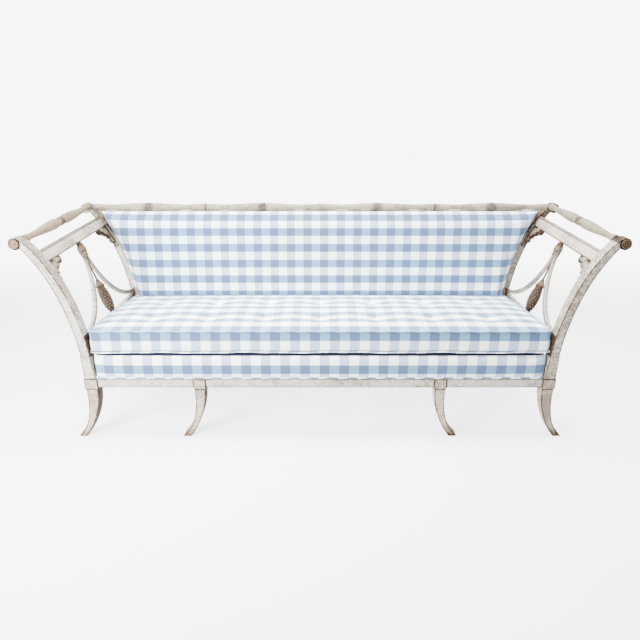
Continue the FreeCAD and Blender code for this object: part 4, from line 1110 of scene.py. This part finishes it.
class SOFA_OT_back(bpy.types.Operator):
    """Stuff the back and stretch its cloth"""

    bl_idname = "sofa.back"
    bl_label = "Upholstered Back"

    def execute(self, context):
        cloth = settings()[0]
        heights, halves, fronts, rears = pad_slices().T
        low, high = heights[0], heights[-1] - 0.001
        full = (heights > low + 0.02) & (heights < high - 0.03)
        slope = np.polyfit(heights[full], fronts[full], 1)
        bm = cut_box((-1.0, 0.0, 0.0), (1.0, 1.0, 1.0), (104, 4, 28))
        # the pad's sides take the dark lining: painted shade in the gap beside the posts, wider on the right
        sides = set()
        for face in bm.faces:
            middle = face.calc_center_median()
            start = (0.2 if middle.x > 0 else 0.45) + 0.3 * (middle.z < 0.5)
            if abs(face.normal.x) > 0.7 and middle.y > start:
                sides.add(face)
        weights = {}
        down = {}
        for vert in bm.verts:
            across, depth, share = vert.co
            z = low + (high - low) * share
            half = np.interp(z, heights, halves) + 0.001
            rear = np.interp(z, heights, rears)
            face = np.polyval(slope, z) + 0.004
            border = min((1 - abs(across)) * half, z - low, high - z)
            swell = 1 - max(0.0, 1 - border / 0.020) ** 2.4
            front = rear - (rear - face) * (0.42 + 0.58 * swell)
            y = front + (rear - front) * depth
            vert.co = (across * (half - 0.020 * (1 - depth)), y, z)
            behind = max(0.0, y - face)
            beside = (1 - abs(across)) * half < min(z - low, high - z)
            rolled = behind if share < 0.5 else -0.12 * min(behind, 0.016) - max(0.0, behind - 0.016)
            round_end = rolled * (not beside)
            down[vert.index] = math.copysign(behind * beside, across), (high - z) / BACK_SLOPE + round_end
            if depth > 0.9 or border < 0.004:
                weights[vert.index] = 1.0
        for face in bm.faces:
            face.material_index = int(face in sides)

        def spot(face, vert):
            turned_in, drop = down[vert.index]
            return vert.co.x + turned_in, (drop - cloth.back_start) * cloth.check / cloth.back_row

        map_cloth(bm, spot)
        made = finish_piece("checked_back", bm, gingham_material("back_gingham", 0.0), "frame")
        made.data.materials.append(lining_material())
        puff(made, weights, 2.5, 0.008)
        subdivide(made)
        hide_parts("back_pad")
        return {"FINISHED"}


class SOFA_OT_deck(bpy.types.Operator):
    """Stretch the cloth over the tight seat and sew its welt"""

    bl_idname = "sofa.deck"
    bl_label = "Tight Seat"

    def execute(self, context):
        cloth = settings()[0]
        low, high = DECK_LOW, DECK_HIGH
        half, front, rear = high.x - 0.003, low.y + 0.007, high.y
        top_row = cloth.deck_row + 2 * cloth.check - 0.0016
        bm = cut_box((-half, front, low.z), (half, rear, high.z), (108, 30, 20))

        def spot(face, vert):
            x, y, z = vert.co
            if abs(face.normal.z) > 0.7:
                return x, y - front + high.z - cloth.deck_row
            return x if abs(face.normal.y) > 0.7 else y, min(z, top_row) - cloth.deck_row

        map_cloth(bm, spot)
        # the top takes the dark lining, and the strip just under the cushion's front stands in as painted
        # shade
        for face in bm.faces:
            lined = face.normal.z > 0.7 or face.calc_center_median().z > high.z - SHADOW_LINING_SHOWS
            face.material_index = int(lined)
        weights = {}
        for vert in bm.verts:
            x, y, z = vert.co
            share = (z - low.z) / (high.z - low.z)
            under = share > 0.99 and y > front + 0.05 and half - abs(x) > 0.05
            if y > rear - SMALL or share < 0.01 or under:
                weights[vert.index] = 1.0
            swell = 0.005 * math.sin(math.pi * share) ** 0.8
            roll = 0.022 * (max(0.0, share - 0.80) / 0.20) ** 2
            if y - front < SMALL:
                vert.co.y += roll - swell
            if half - abs(x) < SMALL:
                vert.co.x -= math.copysign(roll - swell * 0.4, x)
            vert.co.z -= (y - front) * math.tan(SEAT_RAKE) * share
            if share > 0.86 and min(y - front, half - abs(x)) < 0.012:
                vert.co.z -= 0.002 + 0.003 * (share > 0.99)
        round_corners(bm, half, front, rear + 1, SEAT_CORNER)
        made = finish_piece("checked_tight_seat", bm, gingham_material("deck_gingham", cloth.deck_column),
                            "frame")
        made.data.materials.append(lining_material())
        puff(made, weights, 2.0, 0.006)
        subdivide(made)
        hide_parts("seat_deck")
        path = []
        steps = 260
        for i in range(steps + 1):
            x = (half + 0.0015) * (2 * i / steps - 1)
            reach = max(0.0, abs(x) - (half - SEAT_CORNER)) / SEAT_CORNER
            inset = SEAT_CORNER * (1 - math.sqrt(max(0.0, 1 - reach * reach)))
            wave = 0.0024 * math.sin(math.tau * (x - 0.02) / 0.0762) + 0.0010 * math.sin(x * 53.0)
            path.append(Vector((x, front + inset - 0.0005, low.z + 0.0044 + wave)))
        sides = [Vector((s * (half + 0.0015), rear - 0.01, low.z + 0.0044)) for s in (-1, 1)]
        path = [sides[0]] + path + [sides[1]]
        welt = piping_material("deck_welt", cloth.white, cloth.weft)
        piping("tight_seat_welt", path, 0.0042, welt, "frame", closed=False)
        return {"FINISHED"}


class SOFA_OT_outside_back(bpy.types.Operator):
    """Stretch the cloth over the outside of the back"""

    bl_idname = "sofa.outside_back"
    bl_label = "Outside Back"

    def execute(self, context):
        bm = node_bmesh("outside_back_cover")
        map_cloth(bm, lambda face, vert: (vert.co.x, vert.co.z))
        area = sum(f.calc_area() for f in bm.faces if f.normal.y > 0.9)
        made = finish_piece("checked_outside_back", bm, gingham_material("outside_gingham", 0.0),
                            "frame", flat_below=30.0)
        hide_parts("outside_back_cover")
        return {"FINISHED"}


class SOFA_OT_inner_frame(bpy.types.Operator):
    """Finish the hidden timbers"""

    bl_idname = "sofa.inner_frame"
    bl_label = "Inner Frame"

    def execute(self, context):
        timber = grouped_material("sawn_timber", "Wood Grain", "Object",
                                  {"Early": (0.60, 0.44, 0.28, 1), "Late": (0.40, 0.26, 0.15, 1)}, 0.3, 0.001)
        for node in ("corner_blocks", "post_dowels", "crest_dowel", "left_cross_rail", "right_cross_rail",
                     "back_bottom_rail", "back_top_rail", "back_left_stile", "back_right_stile",
                     "back_muntins"):
            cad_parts[node].data.materials.clear()
            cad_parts[node].data.materials.append(timber)
        return {"FINISHED"}


class SOFA_OT_webbing(bpy.types.Operator):
    """Stretch the webbing and the hessian"""

    bl_idname = "sofa.webbing"
    bl_label = "Webbing"

    def execute(self, context):
        for node, name, yarn, light, dark in (
                ("back_webbing", "back_straps", 0.0022, (0.56, 0.47, 0.33), (0.33, 0.26, 0.17)),
                ("seat_webbing", "seat_straps", 0.0022, (0.56, 0.47, 0.33), (0.33, 0.26, 0.17)),
                ("seat_hessian", "seat_sacking", 0.0016, (0.50, 0.41, 0.28), (0.27, 0.21, 0.13))):
            bm = node_bmesh(node)
            depth = 2 if node == "back_webbing" else 1
            map_cloth(bm, lambda face, vert: (vert.co.x, vert.co[depth]), "weave")
            edges = [e for e in bm.edges if e.is_manifold and e.calc_face_angle() > 0.5]
            bmesh.ops.bevel(bm, geom=edges, offset=0.0004, offset_type="OFFSET", affect="EDGES", segments=2,
                            profile=0.5, material=-1)
            values = {"Yarn": yarn, "Light": colour4(light), "Dark": colour4(dark)}
            jute = grouped_material(name + "_jute", "Coarse Weave", "weave", values, 0.6, 0.0012)
            made = finish_piece(name, bm, jute, "frame", flat_below=40.0)
            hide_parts(node)
        return {"FINISHED"}


class SOFA_OT_stage(bpy.types.Operator):
    """Set the floor, the light and the camera"""

    bl_idname = "sofa.stage"
    bl_label = "Stage"

    def execute(self, context):
        stage = settings()[2]
        bm = bmesh.new()
        bmesh.ops.create_grid(bm, x_segments=2, y_segments=2, size=60.0)
        mesh = bpy.data.meshes.new("floor")
        bm.to_mesh(mesh)
        bm.free()
        floor = bpy.data.objects.new("floor", mesh)
        context.scene.collection.objects.link(floor)
        pale = bpy.data.materials.new("pale_floor")
        pale.use_nodes = True
        shader = pale.node_tree.nodes["Principled BSDF"]
        shader.inputs["Base Color"].default_value = (0.90, 0.90, 0.90, 1)
        shader.inputs["Roughness"].default_value = 0.9
        place = add_node(pale.node_tree, "ShaderNodeTexCoord").outputs["Object"]
        depth = add_node(pale.node_tree, "ShaderNodeSeparateXYZ", {0: place}).outputs["Y"]
        near = math_node(pale.node_tree, "MULTIPLY", ramp(pale.node_tree, depth, 2.6, 0.9), 0.6)
        pale.node_tree.links.new(near, shader.inputs["Alpha"])
        mesh.materials.append(pale)
        world = bpy.data.worlds.new("studio")
        world.use_nodes = True
        tree = world.node_tree
        direction = add_node(tree, "ShaderNodeTexCoord").outputs["Generated"]
        way = add_node(tree, "ShaderNodeSeparateXYZ", {0: direction})
        white, sky, side, behind, horizon = [(value, value, value, 1) for value in (
            stage.backdrop, stage.sky, stage.sky * 0.65, stage.behind, stage.horizon)]
        low = mix_colour(tree, ramp(tree, way.outputs["Y"], 0.25, 0.5), side, white)
        shaded = mix_colour(tree, ramp(tree, way.outputs["X"], 0.0, 1.6), sky, side)
        level = mix_colour(tree, ramp(tree, way.outputs["Z"], 0.18, 0.30), low, shaded)
        band = math_node(tree, "MULTIPLY", ramp(tree, way.outputs["Z"], -0.05, 0.0),
                         ramp(tree, way.outputs["Z"], 0.42, 0.14))
        dark = mix_colour(tree, band, behind, horizon)
        level = mix_colour(tree, ramp(tree, way.outputs["Y"], -0.3, 0.1), dark, level)
        tree.links.new(level, tree.nodes["Background"].inputs["Color"])
        context.scene.world = world
        for name, place, aim, power, wide, deep, spread in (
                ("key", (-1.75, -1.7, 1.35), (-0.62, -0.3, 0.5), stage.key, 1.0, 1.0, 100),
                ("top", (0.0, -0.1, 2.7), (0.0, -0.05, 0.4), stage.top, 2.3, 0.8, 70)):
            light = bpy.data.lights.new(name, "AREA")
            light.energy = power
            light.shape = "RECTANGLE"
            light.size = wide
            light.size_y = deep
            light.spread = math.radians(spread)
            lamp = bpy.data.objects.new(name, light)
            lamp.location = place
            lamp.rotation_euler = (Vector(aim) - lamp.location).to_track_quat("-Z", "Y").to_euler()
            context.scene.collection.objects.link(lamp)
        camera = bpy.data.cameras.new("camera")
        camera.lens = stage.lens
        camera.sensor_width = 36.0
        view = bpy.data.objects.new("camera", camera)
        view.location = stage.camera
        view.rotation_euler = (math.pi / 2 - stage.tilt, 0, 0)
        context.scene.collection.objects.link(view)
        context.scene.camera = view
        return {"FINISHED"}


OPERATORS = (SOFA_OT_show_wood, SOFA_OT_scrolls, SOFA_OT_turnings, SOFA_OT_arm_boards, SOFA_OT_swags,
             SOFA_OT_knots, SOFA_OT_cones, SOFA_OT_spandrels, SOFA_OT_inner_frame, SOFA_OT_webbing,
             SOFA_OT_deck, SOFA_OT_cushion, SOFA_OT_back, SOFA_OT_outside_back, SOFA_OT_stage)
GROUPS = (("sofa_cloth", SofaCloth), ("sofa_paint", SofaPaint), ("sofa_stage", SofaStage))


class SOFA_PT_panel(bpy.types.Panel):
    """Every piece of the sofa in building order"""

    bl_label = "Sofa"
    bl_idname = "SOFA_PT_panel"
    bl_space_type = "VIEW_3D"
    bl_region_type = "UI"
    bl_category = "Sofa"

    def draw(self, context):
        for name, group in GROUPS:
            for key in group.__annotations__:
                self.layout.prop(getattr(context.scene, name), key)
        for operator in OPERATORS:
            self.layout.operator(operator.bl_idname)


def register():
    for name, group in GROUPS:
        bpy.utils.register_class(group)
        setattr(bpy.types.Scene, name, bpy.props.PointerProperty(type=group))
    for operator in OPERATORS:
        bpy.utils.register_class(operator)
    bpy.utils.register_class(SOFA_PT_panel)


def unregister():
    bpy.utils.unregister_class(SOFA_PT_panel)
    for operator in reversed(OPERATORS):
        bpy.utils.unregister_class(operator)
    for name, group in reversed(GROUPS):
        delattr(bpy.types.Scene, name)
        bpy.utils.unregister_class(group)


def main():
    register()
    for operator in OPERATORS:
        group, name = operator.bl_idname.split(".")
        getattr(getattr(bpy.ops, group), name)()


if __name__ == "__main__":
    main()
